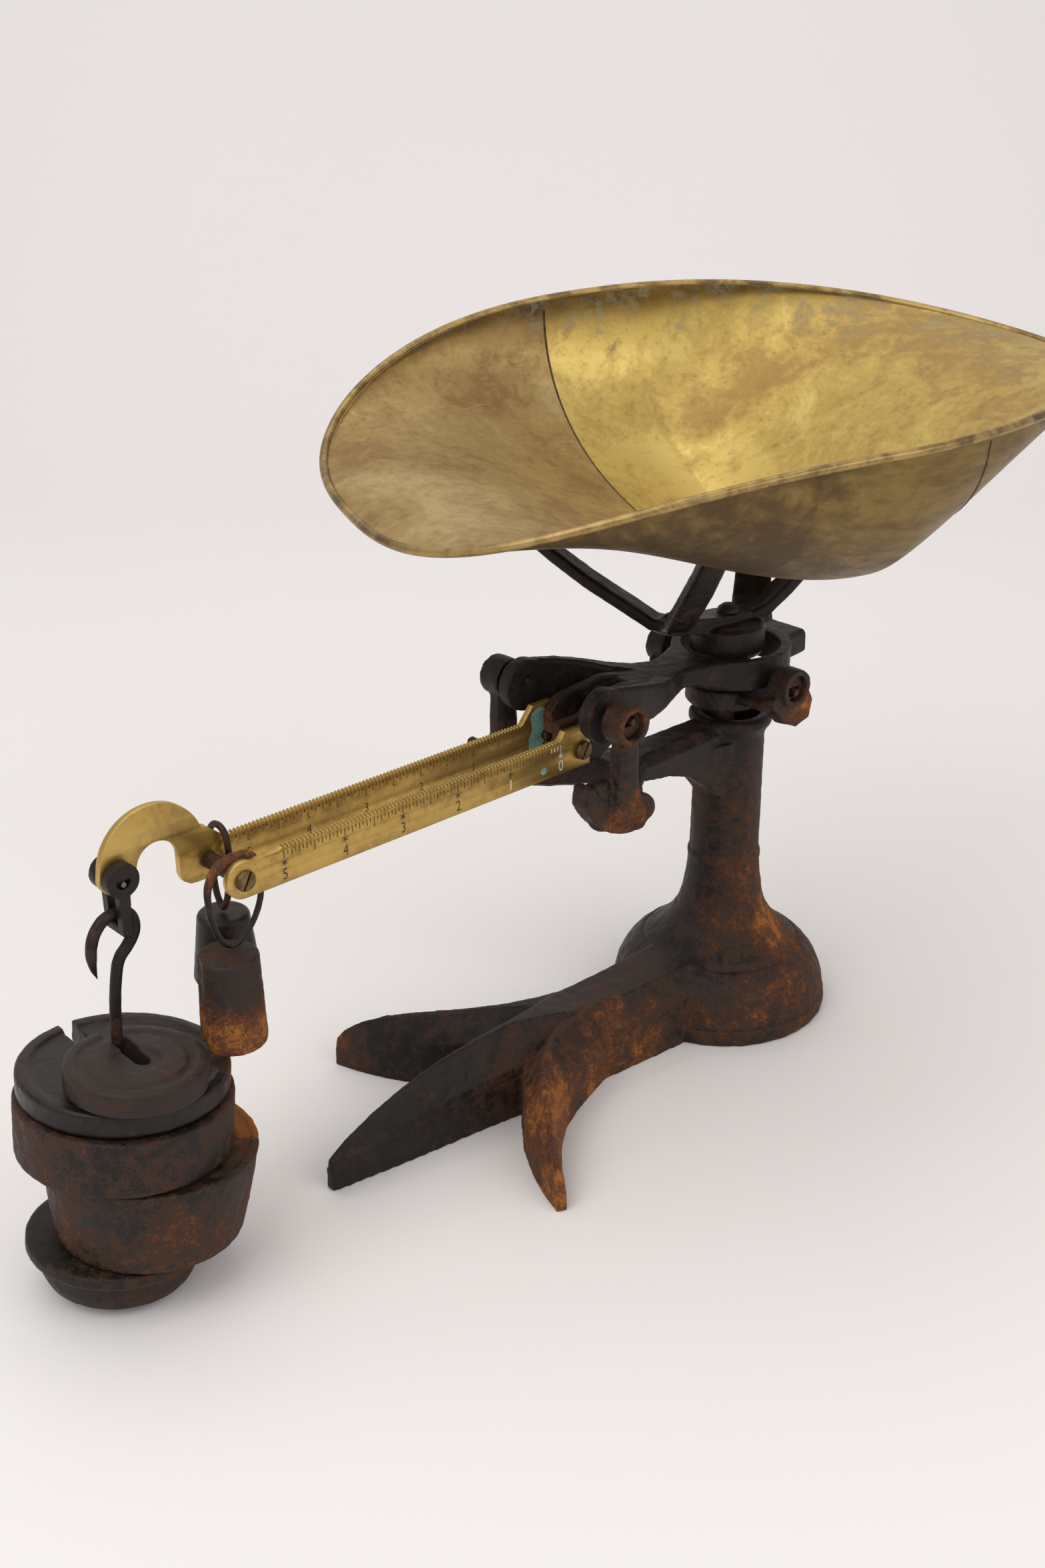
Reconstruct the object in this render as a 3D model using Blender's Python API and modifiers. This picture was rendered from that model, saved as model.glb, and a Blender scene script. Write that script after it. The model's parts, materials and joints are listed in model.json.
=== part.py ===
"""Counter beam scale with a brass scoop.

Sizes below are in millimetres, and the helpers turn them into metres. Everything
is laid out from the column axis at floor level: +X runs towards the scoop's narrow
end, -X along the graduated beam to the hanging weights, and -Y is the front.
"""

import math

import bmesh
import bpy
from mathutils import Matrix, Vector

MM = 0.001
GAP = 0.3  # clearance left between neighbouring pieces

# Pedestal
FOOT_RADIUS = 59.4
COLUMN_RADIUS = 18.5
COLUMN_TOP = 172.0
COLUMN_BORE = 14.7
ROUND_STEPS = 32

# Leg and check linkage
TOE_TIP_X = -271.4
CHANNEL_HALF_WIDTH = 5.0
STUD_HEIGHT = 30.0
STUD_RADIUS = 3.0
CHECK_PIN_RADIUS = 2.0

# Beam, in its own frame with the fulcrum edge at the origin
FULCRUM = (-122.7, 0.0, 209.6)
BEAM_TILT = math.radians(-0.96)
LOAD_X = 116.8
LOAD_Z = -13.9
TIP_X = -237.0
TIP_Z = -14.1
BOSS_RADIUS = 10.2
BOSS_BORE = 6.7
BOSS_INNER_Y = 35.8
BOSS_OUTER_Y = 48.7
RING_X = 120.0
RING_OUTER = 31.0
RING_BORE = 25.6
RING_TOP = -1.7
RING_BOTTOM = -17.7
BAR_BOTTOM = -30.0
BAR_TOP = -13.0
BAR_RIGHT = 4.5
BAR_END_X = -193.4
FRONT_BAR_Y = (-14.3, -10.9)
REAR_BAR_Y = (12.0, 15.4)
SCREW_POINTS = ((-0.2, -21.9), (BAR_END_X, -21.5))
SCREW_SHANK = 2.3

# Pan carrier
CARRIER_X = -5.7
CARRIER_Z = 197.7
STEM_RADIUS = 5.5
STEM_FOOT = 12.6
HUB_RADIUS = 19.5
# Spider arms: (out, rise, half width) from the elbow
REAR_ARM = ((-4, 0, 7.5), (8, 1, 7.5), (22, 9, 7.5), (42, 20, 7.5), (59, 31, 7), (75, 43, 7), (92, 55, 7))
FRONT_ARM = ((-4, -1, 7.5), (8, 4, 7.5), (22, 16, 7.5), (36, 29, 7.5), (50, 43, 7), (64, 58, 7))
STEEP_ARM = ((-6, -2, 10), (4, 3, 10), (14, 13, 9.5), (24, 25, 9), (34, 37, 8.5), (46, 50, 8), (60, 62, 8))

# Scoop: (half length, outline powers, end's rise, powers of the bottom's fade) for each end
SCOOP_CENTRE = (-28.3, -17.4, 359.2)
SCOOP_YAW = math.radians(-18.7)
SCOOP_TILT = 0.051
SCOOP_ROLL = 0.095
SCOOP_HALF_WIDTH = 139.0
SCOOP_DEPTH = 92.7
SCOOP_DEEPEST = 19.7
SCOOP_SECTION = 2.37
SCOOP_BLUNT = (194.1, 2.78, 2.64, -43.7, 1.76, 1.66)
SCOOP_NARROW = (188.3, 1.82, 1.61, -17.5, 1.25, 2.3)
SCOOP_SEAMS = (-38.6, 49.3)
SHEET_THICKNESS = 1.2
RIM_RADIUS = 2.6
RIM_INSET = 3.6

# Tip stirrup and hanger
BEAM_END_Y = 13.7
STIRRUP_BAR_TOP = 170.4
HANGER_PIVOT = (-360.0, BEAM_END_Y, STIRRUP_BAR_TOP)
HANGER_LEAN = math.radians(5.2)
WIRE_RADIUS = 2.65
ROD_X = -1.0  # rod axis in the hanger's frame, whose origin is the pivot

# Poises
LOOP_WIRE = 1.6
FRONT_POISE = (-323.0, -8.6)
REAR_POISE = (-307.0, 18.6)

IRON = ((0.035, 0.03, 0.027, 1), 0.6, 0.7)
RUST = ((0.13, 0.055, 0.028, 1), 0.85, 0.3)
STEEL = ((0.16, 0.15, 0.14, 1), 0.45, 0.9)
BRASS = ((0.42, 0.3, 0.12, 1), 0.35, 1.0)

parts = bpy.data.collections.new("bench_scale")
cutters = bpy.data.collections.new("cutters")


def clear_scene():
    for thing in list(bpy.data.objects):
        bpy.data.objects.remove(thing)
    bpy.context.scene.collection.children.link(parts)
    bpy.context.scene.collection.children.link(cutters)


# ---------------------------------------------------------------- outlines


def arc(centre, radius, start, end, count):
    """Points on a circle from start to end degrees."""
    angles = [math.radians(start + (end - start) * i / count) for i in range(count + 1)]
    return [(centre[0] + radius * math.cos(a), centre[1] + radius * math.sin(a)) for a in angles]


def bowed(start, end, rise, count):
    """Points from start to end on an arc that stands rise to the left of the chord."""
    start = Vector(start)
    end = Vector(end)
    half = (end - start).length / 2
    radius = (half * half + rise * rise) / (2 * abs(rise))
    side = (end - start).orthogonal().normalized() * math.copysign(1, rise)
    centre = (start + end) / 2 + side * (abs(rise) - radius)
    first = start - centre
    sweep = -2 * math.asin(half / radius) * math.copysign(1, rise)
    points = []
    for i in range(count + 1):
        turn = Matrix.Rotation(sweep * i / count, 2)
        points.append(tuple(centre + turn @ first))
    return points


def teardrop(point, radius, drop, grow=0.0):
    """Knife-edge section with its edge at point; drop is the round back's offset, down if negative."""
    middle = (point[0], point[1] + drop)
    spread = math.degrees(math.acos(radius / abs(drop)))
    towards = 90.0 if drop < 0 else -90.0
    back = arc(middle, radius + grow, towards + spread, towards + 360 - spread, 10)
    edge = (point[0], point[1] - math.copysign(grow * abs(drop) / radius, drop))
    return [edge] + back


def seat(point, radius, flat, count=12):
    """Round hole outline with a flat across it at the height flat above its centre."""
    angle = math.degrees(math.asin(abs(flat) / radius))
    if flat < 0:
        return arc(point, radius, -angle, 180 + angle, count)
    return arc(point, radius, 180 - angle, 360 + angle, count)


# ---------------------------------------------------------------- solids


def new_object(name, data, group=parts):
    thing = bpy.data.objects.new(name, data)
    group.objects.link(thing)
    return thing


def solid(thing):
    """Replaces thing by a plain welded mesh of the shape it shows."""
    bpy.context.view_layer.update()
    shown = thing.evaluated_get(bpy.context.evaluated_depsgraph_get())
    mesh = bpy.data.meshes.new_from_object(shown)
    mesh.transform(thing.matrix_world)
    name = thing.name
    bpy.data.objects.remove(thing)
    mesh.name = name
    return weld(new_object(name, mesh))


def weld(thing):
    shape = bmesh.new()
    shape.from_mesh(thing.data)
    bmesh.ops.remove_doubles(shape, verts=shape.verts, dist=2e-6)
    bmesh.ops.recalc_face_normals(shape, faces=shape.faces)
    shape.to_mesh(thing.data)
    shape.free()
    return thing


def turned(name, profile, closed=False, steps=ROUND_STEPS):
    """Solid of revolution about Z; the (radius, height) profile runs down the outer side."""
    count = len(profile)
    mesh = bpy.data.meshes.new(name)
    edges = [(i, (i + 1) % count) for i in range(count if closed else count - 1)]
    mesh.from_pydata([(r * MM, 0, z * MM) for r, z in profile], edges, [])
    thing = new_object(name, mesh)
    screw = thing.modifiers.new("turn", "SCREW")
    screw.steps = steps
    screw.render_steps = steps
    screw.use_merge_vertices = True
    screw.merge_threshold = 1e-6
    return solid(thing)


def plate(name, outlines, low, high, across="Y"):
    """Flat outlines, the later ones holes, made thick from low to high across their plane."""
    curve = bpy.data.curves.new(name, "CURVE")
    curve.dimensions = "2D"
    curve.fill_mode = "BOTH"
    curve.extrude = (high - low) / 2 * MM
    for outline in outlines:
        spline = curve.splines.new("POLY")
        spline.points.add(len(outline) - 1)
        for point, (a, b) in zip(spline.points, outline):
            point.co = (a * MM, b * MM, 0, 1)
        spline.use_cyclic_u = True
    thing = new_object(name, curve)
    middle = (low + high) / 2 * MM
    if across == "Y":
        thing.matrix_world = Matrix.Translation((0, middle, 0)) @ Matrix.Rotation(math.pi / 2, 4, "X")
    else:
        thing.matrix_world = Matrix.Translation((0, 0, middle))
    return solid(thing)


def wire(name, points, radius, closed=False, sides=2):
    """Round wire through the points."""
    curve = bpy.data.curves.new(name, "CURVE")
    curve.dimensions = "3D"
    curve.bevel_depth = radius * MM
    curve.bevel_resolution = sides
    curve.use_fill_caps = True
    spline = curve.splines.new("POLY")
    spline.points.add(len(points) - 1)
    for point, place in zip(spline.points, points):
        point.co = (*(c * MM for c in place), 1)
    spline.use_cyclic_u = closed
    return solid(new_object(name, curve))


def smooth_path(points, per_span=4, closed=False):
    """Catmull-Rom points through the given ones."""
    count = len(points)
    path = []
    for i in range(count if closed else count - 1):
        near = [points[(i + k) % count if closed else min(max(i + k, 0), count - 1)] for k in (-1, 0, 1, 2)]
        a, b, c, d = (Vector(p) for p in near)
        for k in range(per_span):
            t = k / per_span
            path.append((2 * b + (c - a) * t + (2 * a - 5 * b + 4 * c - d) * t * t
                         + (3 * b - a - 3 * c + d) * t ** 3) / 2)
    if not closed:
        path.append(Vector(points[-1]))
    return path


def primitive(name, make):
    shape = bmesh.new()
    make(shape)
    mesh = bpy.data.meshes.new(name)
    shape.to_mesh(mesh)
    shape.free()
    return new_object(name, mesh)


def cylinder(name, radius, low, high, centre, axis="Z", segments=20, high_radius=None):
    """Cylinder or cone along an axis; centre gives the other two coordinates in order."""
    ends = {"X": (high - low, Matrix.Rotation(math.pi / 2, 4, "Y")),
            "Y": (high - low, Matrix.Rotation(-math.pi / 2, 4, "X")),
            "Z": (high - low, Matrix.Identity(4))}
    depth, turn = ends[axis]
    middle = list(centre)
    middle.insert("XYZ".index(axis), (low + high) / 2)
    place = Matrix.Translation(Vector(middle) * MM) @ turn
    top = radius if high_radius is None else high_radius
    return primitive(name, lambda shape: bmesh.ops.create_cone(
        shape, cap_ends=True, segments=segments, radius1=radius * MM, radius2=top * MM,
        depth=depth * MM, matrix=place))


def box(name, low, high, bevel=0.0):
    low = Vector(low) * MM
    high = Vector(high) * MM
    size = high - low
    place = Matrix.Translation((low + high) / 2) @ Matrix.Diagonal((*size, 1))
    thing = primitive(name, lambda shape: bmesh.ops.create_cube(shape, size=1, matrix=place))
    if bevel:
        edge = thing.modifiers.new("edges", "BEVEL")
        edge.width = bevel * MM
        edge.segments = 1
        return solid(thing)
    return thing


def loft(name, sections):
    """Closed body through sections that hold equally many points each."""
    count = len(sections[0])
    mesh = bpy.data.meshes.new(name)
    faces = [tuple(range(count)), tuple(reversed([len(sections) * count - count + i for i in range(count)]))]
    for s in range(len(sections) - 1):
        for i in range(count):
            j = (i + 1) % count
            faces.append((s * count + i, s * count + j, (s + 1) * count + j, (s + 1) * count + i))
    mesh.from_pydata([Vector(p) * MM for section in sections for p in section], [], faces)
    return weld(new_object(name, mesh))


def change(thing, other, operation):
    """Joins other to thing, or cuts it out, and puts it with the cutters."""
    step = thing.modifiers.new(other.name, "BOOLEAN")
    step.operation = operation
    step.solver = "EXACT"
    step.object = other
    parts.objects.unlink(other)
    cutters.objects.link(other)
    other.hide_render = True
    other.display_type = "WIRE"
    other.parent = thing
    return thing


def join(thing, *others):
    for other in others:
        change(thing, other, "UNION")
    return thing


def cut(thing, *others):
    for other in others:
        change(thing, other, "DIFFERENCE")
    return thing


def finish(thing, look):
    """Gives the piece its material and smooth shading with sharp corners."""
    colour, roughness, metallic = look
    material = bpy.data.materials.new(thing.name)
    material.use_nodes = True
    shader = material.node_tree.nodes["Principled BSDF"]
    shader.inputs["Base Color"].default_value = colour
    shader.inputs["Roughness"].default_value = roughness
    shader.inputs["Metallic"].default_value = metallic
    thing.data.materials.append(material)
    thing.data.shade_smooth()
    thing.data.set_sharp_from_angle(angle=math.radians(35))
    return thing


def body(name, place, above=None, turn=0.0):
    """Empty on a joint's axis that carries the pieces of one moving body."""
    empty = bpy.data.objects.new(name, None)
    parts.objects.link(empty)
    empty.location = Vector(place) * MM
    empty.rotation_euler.y = turn
    if above:
        bpy.context.view_layer.update()
        empty.parent = above
        empty.matrix_parent_inverse = above.matrix_world.inverted()
    return empty


def carry(empty, *things):
    """Hangs pieces laid out in the model's frame on a body's empty."""
    bpy.context.view_layer.update()
    for thing in things:
        thing.parent = empty
        thing.matrix_parent_inverse = empty.matrix_world.inverted()


def carry_own(empty, *things):
    """Hangs pieces laid out in the body's own frame on its empty."""
    for thing in things:
        thing.parent = empty


# ---------------------------------------------------------------- stand


def dome_side(grow=0.0):
    """Outer side of the foot from the column's root to the floor."""
    side = [(20.4, 77), (22, 66)] + bowed((24.5, 58), (42, 39), -1.8, 4) + bowed((43, 38.4), (58, 14), 3.0, 5)
    side += [(58.8, 9.6), (FOOT_RADIUS, 8.8), (FOOT_RADIUS, 1.5), (FOOT_RADIUS - 1, 0)]
    return [(r + grow, z + grow) for r, z in side]


def column_side(grow=0.0):
    """Outer side of the column's flared collar and shaft, from the top down."""
    side = [(20.6, COLUMN_TOP), (22.2, COLUMN_TOP - 1.6), (22.2, 167), (20.4, 164.4), (COLUMN_RADIUS, 160),
            (18.8, 103.5)]
    return [(r + grow, z) for r, z in side]


def make_pedestal():
    column = [(16, COLUMN_TOP)] + column_side() + [(19.0, 92.4), (19.9, 91.4), (19.9, 89), (19.4, 86)]
    hollow = [(52.8, 0), (52.8, 11)] + bowed((51, 17), (37, 32), -1.5, 3)
    hollow += [(26, 38), (COLUMN_BORE, 42), (COLUMN_BORE, 166)]
    pedestal = turned("pedestal", column + dome_side() + hollow, closed=True)
    slot = box("link_slot", (-75, -CHANNEL_HALF_WIDTH, -5), (-30, CHANNEL_HALF_WIDTH, 31))
    return finish(cut(pedestal, slot), RUST)


def house(place, heading, half, wall, ridge, flat):
    """Leg section square to its heading: upright walls under a roof with a flat ridge."""
    side = Vector((-math.sin(heading), math.cos(heading), 0))
    middle = Vector((*place, 0))
    outline = [(half, 0), (half * 0.96, wall), (flat, ridge), (-flat, ridge), (-half * 0.96, wall), (-half, 0)]
    return [middle + side * across + Vector((0, 0, up)) for across, up in outline]


def toe_line(name, stations):
    """Lofts house sections along a run of stations, each facing the way the run goes."""
    sections = []
    for i, (x, y, half, wall, ridge, flat) in enumerate(stations):
        before = stations[max(i - 1, 0)]
        after = stations[min(i + 1, len(stations) - 1)]
        heading = math.atan2(after[1] - before[1], after[0] - before[0])
        sections.append(house((x, y), heading, half, wall, ridge, flat))
    return loft(name, sections)


def side_toe(name, side):
    run = [(-104, -6, 13, 26, 38.2, 6), (-128, -12, 15, 27, 40, 4), (-146, -20, 14, 28, 41, 2),
           (-162, -31, 11.5, 26, 40.5, 1.3), (-176, -45, 9.5, 23, 38.5, 1), (-188, -61, 7, 18, 34, 0.9),
           (-195.5, -73, 5, 14, 28, 0.8), (-200, -82, 3.4, 10, 20.5, 0.8), (-201.8, -86, 2.6, 8, 15, 0.7)]
    return toe_line(name, [(x, y * side, *rest) for x, y, *rest in run])


def make_leg():
    run = [(-36, 0, 25, 27, 40, 14), (-62, 0, 24.5, 26, 39.2, 13.5), (-85, 0, 23, 26, 39, 12.8),
           (-110, 0, 21.5, 27, 39.8, 12), (-135, 0, 20, 29, 43, 6), (-155, 0, 17, 29, 45, 2),
           (-180, 0, 13.5, 28, 44.2, 1.4), (-205, 0, 11, 25, 41.5, 1.2), (-228, 0, 8.5, 22, 36.2, 1),
           (-246, 0, 6.5, 18, 30.2, 1), (-261, 0, 4.5, 14, 23.6, 0.9), (TOE_TIP_X, 0, 2.8, 11, 16.6, 0.8)]
    leg = join(toe_line("leg", run), side_toe("front_toe", 1), side_toe("rear_toe", -1))
    dome = turned("dome_recess", [(0, 90)] + dome_side(GAP)[:-1] + [(FOOT_RADIUS + GAP, -5), (0, -5)])
    channel = box("link_channel", (-140, -CHANNEL_HALF_WIDTH, -5), (-20, CHANNEL_HALF_WIDTH, 36))
    blind = cylinder("stud_hole", STUD_RADIUS + GAP, -11, 11, (FULCRUM[0], STUD_HEIGHT), "Y", 20)
    return finish(cut(leg, dome, channel, blind), RUST)


def make_check_stud():
    stud = cylinder("check_stud", STUD_RADIUS, -10.7, 10.7, (FULCRUM[0], STUD_HEIGHT), "Y", 20)
    return finish(stud, STEEL)


def arm_section(x, half, top, shoulder, bottom):
    """Section of the bracket's arm: flat top, bevelled shoulders, narrower underside."""
    outline = [(half - 5, top), (half, shoulder), (half - 2, bottom), (2 - half, bottom), (-half, shoulder),
               (5 - half, top)]
    return [(x, y, z) for y, z in outline]


def fork_arm(name, side):
    """One prong of the fork, from the arm's end out to its pillar."""
    run = [(-74, 3, 8, 169, 157), (-92, 13, 9, 168, 153.5), (-106, 26, 9.5, 167, 152), (-116, 35, 10, 168, 153),
           (-121, 43, 10.5, 170, 155)]
    sections = []
    for i, (x, y, half, top, bottom) in enumerate(run):
        before = run[max(i - 1, 0)]
        after = run[min(i + 1, len(run) - 1)]
        across = Vector((before[1] - after[1], after[0] - before[0], 0)).normalized()
        middle = Vector((x, y, 0))
        outline = [(half - 3, top), (half, top - 5), (half - 1, bottom + 3), (half - 5, bottom),
                   (5 - half, bottom), (1 - half, bottom + 3), (-half, top - 5), (3 - half, top)]
        points = [middle + across * a + Vector((0, 0, z)) for a, z in outline]
        sections.append([(p.x, p.y * side, p.z) for p in points])
    return loft(name, sections)


def pillar(name, side):
    """Upright that flares at its foot, and the crescent lump under it."""
    x = FULCRUM[0]
    stations = [(163, 10, 7.5), (172, 8.5, 6.5), (180, 6.8, 5.5), (204, 6.0, 5.0)]
    corners = ((1, 0.6), (0.6, 1), (-0.6, 1), (-1, 0.6), (-1, -0.6), (-0.6, -1), (0.6, -1), (1, -0.6))
    return loft(name, [
        [(x + a * i, side * (41.6 + 0.02 * (z - 163)) + b * j, z) for i, j in corners]
        for z, a, b in stations])


def crescent(name, side):
    outline = [(-142.5, 183.5), (-146, 182.5)] + bowed((-147.5, 174), (-118, 152.5), -5, 5)
    outline += [(-110, 153.5), (-103, 160), (-105, 168), (-114, 172), (-129, 172), (-138, 175)]
    low, high = sorted((side * 32.0, side * 43.4))
    return plate(name, [outline], low, high)


def make_bracket():
    run = [arm_section(x, *rest) for x, *rest in (
        (-6, 11, 170.5, 165, 134), (-22, 11.2, 170.5, 165, 136), (-30, 11.5, 170.3, 164.5, 140),
        (-40, 12, 170, 164.5, 147), (-56, 12.6, 169.5, 164, 152.5), (-78, 13.5, 169, 163.5, 156),
        (-92, 12, 168.5, 163.5, 156.5))]
    bracket = loft("bracket", run)
    for side, word in ((-1, "front"), (1, "rear")):
        low, high = sorted((side * BOSS_INNER_Y, side * BOSS_OUTER_Y))
        place = (FULCRUM[0], FULCRUM[2])
        boss = cylinder(word + "_boss", BOSS_RADIUS, low, high, place, "Y", 20)
        join(bracket, fork_arm(word + "_fork", side), crescent(word + "_crescent", side),
             pillar(word + "_pillar", side), boss)
        cut(bracket, cylinder(word + "_bore", BOSS_BORE, low - 3, high + 3, place, "Y", 16))
    recess = turned("column_recess", [(0, 190), (23, 190)] + column_side(0.4) + [(0, 103.5)])
    return finish(cut(bracket, recess), IRON)


def bearing(name, place, flat, side):
    """Hardened ring with a flat seat for its knife edge."""
    outer = arc(place, BOSS_BORE - GAP, 0, 337.5, 15)
    low, high = sorted((side * (BOSS_INNER_Y + GAP), side * (BOSS_OUTER_Y - GAP)))
    return finish(plate(name, [outer, seat(place, 4.8, flat)], low, high), STEEL)


# ---------------------------------------------------------------- beam


def lever_arm(name, side):
    """Arm that bows out from the neck to its knife-edge disc."""
    run = [(0, 27.8, 3.4, 11, -11), (8, 27.8, 3.4, 11.5, -12), (22, 26.5, 3.8, 8.5, -12.5),
           (36, 22.5, 4.2, 4.5, -13), (48, 17, 5, 0.5, -13.5), (60, 10.5, 6, -2, -13), (72, 5, 6, -2.2, -13)]
    sections = []
    for i, (x, y, half, top, bottom) in enumerate(run):
        before = run[max(i - 1, 0)]
        after = run[min(i + 1, len(run) - 1)]
        across = Vector((before[1] - after[1], after[0] - before[0], 0)).normalized()
        outline = [(half - 1, top), (half, top - 2), (half, bottom + 2), (half - 1, bottom),
                   (1 - half, bottom), (-half, bottom + 2), (-half, top - 2), (1 - half, top)]
        points = [Vector((x, y, 0)) + across * a + Vector((0, 0, z)) for a, z in outline]
        sections.append([(p.x, p.y * side, p.z) for p in points])
    return loft(name, sections)


def neck_section(x, half, top, bottom):
    outline = [(half - 2, top), (half, top - 2), (half, bottom + 2), (half - 3, bottom), (3 - half, bottom),
               (-half, bottom + 2), (-half, top - 2), (2 - half, top)]
    return [(x, y, z) for y, z in outline]


def make_lever():
    lever = cylinder("lever", RING_OUTER, RING_BOTTOM, RING_TOP, (RING_X, 0), "Z", 36)
    neck = loft("neck", [neck_section(x, *rest) for x, *rest in (
        (40, 10.5, -1, -15), (54, 10.5, -2, -12.2), (68, 11, -2.2, -12), (80, 13.5, -2, -13.2),
        (90, 18, -1.8, -16), (100, 22, -1.8, -17.5))])
    lug = loft("lug", [neck_section(x, *rest) for x, *rest in (
        (140, 20, -1.9, -17.2), (150, 15.5, -2, -16.6), (164, 14.2, -2.4, -16.4))])
    rear = [(-2, -33), (-2, -9), (4, -2), (34, 1), (56, -3), (56, -12.5), (36, -20), (20, -33)]
    front = [(-12, -32), (-12, -6.6), (3, -6.6), (16, 1), (34, 1), (56, -3), (56, -12.5), (36, -20), (16, -32)]
    web = [(26, -4), (52, -4), (52, -12), (34, -22), (26, -25)]
    rear_prong = plate("rear_prong", [rear], 5.5, 11.6)
    front_prong = plate("front_prong", [front], -10.6, -5)
    join(lever, neck, lug, rear_prong, front_prong, plate("web", [web], -6, 6))
    for side, word in ((-1, "front"), (1, "rear")):
        low, high = sorted((side * 24.1, side * 31.5))
        disc = cylinder(word + "_disc", 13.2, low, high, (0, 0), "Y", 24)
        join(lever, lever_arm(word + "_arm", side), disc)
    cut(lever, cylinder("ring_bore", RING_BORE, -30, 10, (RING_X, 0), "Z", 36))
    for side, word in ((-1, "front"), (1, "rear")):
        low, high = sorted((side * 20, side * 36))
        cut(lever, plate(word + "_fulcrum_hole", [teardrop((0, 0), 1.7, 2.2, GAP)], low, high))
        low, high = sorted((side * 28.2, side * 36))
        drop = teardrop((LOAD_X, LOAD_Z), 1.7, -2.2, GAP)
        cut(lever, plate(word + "_load_hole", [drop], low, high))
    x, z = SCREW_POINTS[0]
    cut(lever, cylinder("prong_hole", SCREW_SHANK + GAP, -14, 14, (x, z), "Y", 16))
    cut(lever, cylinder("balance_hole", 2.1, -22, -9, (157, 0), "Z", 14))
    return finish(lever, IRON)


def knife(name, point, drop, low, high, radius=1.7):
    return finish(plate(name, [teardrop(point, radius, drop)], low, high), STEEL)


def screw_holes(name, low, high):
    return [cylinder(f"{name}_hole_{i}", SCREW_SHANK + GAP, low - 3, high + 3, point, "Y", 12)
            for i, point in enumerate(SCREW_POINTS)]


def make_front_bar():
    low, high = FRONT_BAR_Y
    outline = [(BAR_RIGHT, BAR_BOTTOM), (BAR_RIGHT, -9.3), (-11.8, -9.3), (-15.6, BAR_TOP)]
    outline += arc((BAR_END_X, -21.5), 8.5, 90, 270, 10)
    bar = plate("front_bar", [outline], low, high)
    return finish(cut(bar, *screw_holes("front_bar", low, high)), BRASS)


def make_rear_bar():
    low, high = REAR_BAR_Y
    outline = [(BAR_RIGHT, BAR_BOTTOM), (BAR_RIGHT, -5), (-8, -5), (-15.6, BAR_TOP), (-183, BAR_TOP),
               (-192.5, -7.1)]
    outline += arc((-219.5, -13), 24.9, 22, 172, 12)
    outline += arc((-236.8, -14), 8.2, 185, 340, 8)
    outline += arc((-217.5, -15), 10, 180, 0, 10)
    outline += [(-208, -24), (-205.4, -28.2), (-200, BAR_BOTTOM)]
    bar = plate("rear_bar", [outline], low, high)
    edge = plate("tip_hole", [teardrop((TIP_X, TIP_Z), 1.1, -1.6, GAP)], low - 3, high + 3)
    return finish(cut(bar, edge, *screw_holes("rear_bar", low, high)), BRASS)


def make_spacer():
    place = SCREW_POINTS[1]
    spacer = cylinder("bar_spacer", 3.7, FRONT_BAR_Y[1] + GAP, REAR_BAR_Y[0] - GAP, place, "Y", 20)
    bore = cylinder("spacer_bore", SCREW_SHANK + GAP, -14, 15, place, "Y", 16)
    return finish(cut(spacer, bore), IRON)


def make_screw(name, place, side):
    """Slotted screw whose head lies outside its bar."""
    face = FRONT_BAR_Y[0] if side < 0 else REAR_BAR_Y[1]
    head_low, head_high = sorted((face + side * GAP, face + side * 2.1))
    shank_low, shank_high = sorted((face + side * 1.5, face - side * 8.5))
    screw = cylinder(name, 4.6, head_low, head_high, place, "Y", 16)
    join(screw, cylinder(name + "_shank", SCREW_SHANK, shank_low, shank_high, place, "Y", 10))
    x, z = place
    slot_low, slot_high = sorted((face + side * 1.3, face + side * 4))
    cut(screw, box(name + "_slot", (x - 6, slot_low, z - 0.55), (x + 6, slot_high, z + 0.55)))
    return finish(screw, BRASS)


def make_balance_screw():
    profile = [(0, -10), (1.8, -10), (1.8, -16.7), (4, -16.7), (4.4, -18.6), (4, -20.6), (2.6, -22.2), (0, -22.8)]
    screw = turned("balance_screw", profile, steps=20)
    for vertex in screw.data.vertices:
        vertex.co.x += 157 * MM
    return finish(screw, IRON)


def make_beam(root):
    beam = body("beam_pivot", FULCRUM, root, BEAM_TILT)
    things = [make_lever(), make_front_bar(), make_rear_bar(), make_spacer(), make_balance_screw()]
    for side, word in ((-1, "front"), (1, "rear")):
        low, high = sorted((side * 24.4, side * 47.5))
        things.append(knife(word + "_fulcrum_pivot", (0, 0), 2.2, low, high))
        low, high = sorted((side * 28.5, side * 47.5))
        things.append(knife(word + "_load_pivot", (LOAD_X, LOAD_Z), -2.2, low, high))
        for place, end in zip(SCREW_POINTS, ("lever", "tip")):
            things.append(make_screw(f"{word}_{end}_screw", place, side))
    things.append(knife("tip_pivot", (TIP_X, TIP_Z), -1.6, 6.6, 20.8, 1.1))
    carry_own(beam, *things)
    return beam


# ---------------------------------------------------------------- pan carrier


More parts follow.
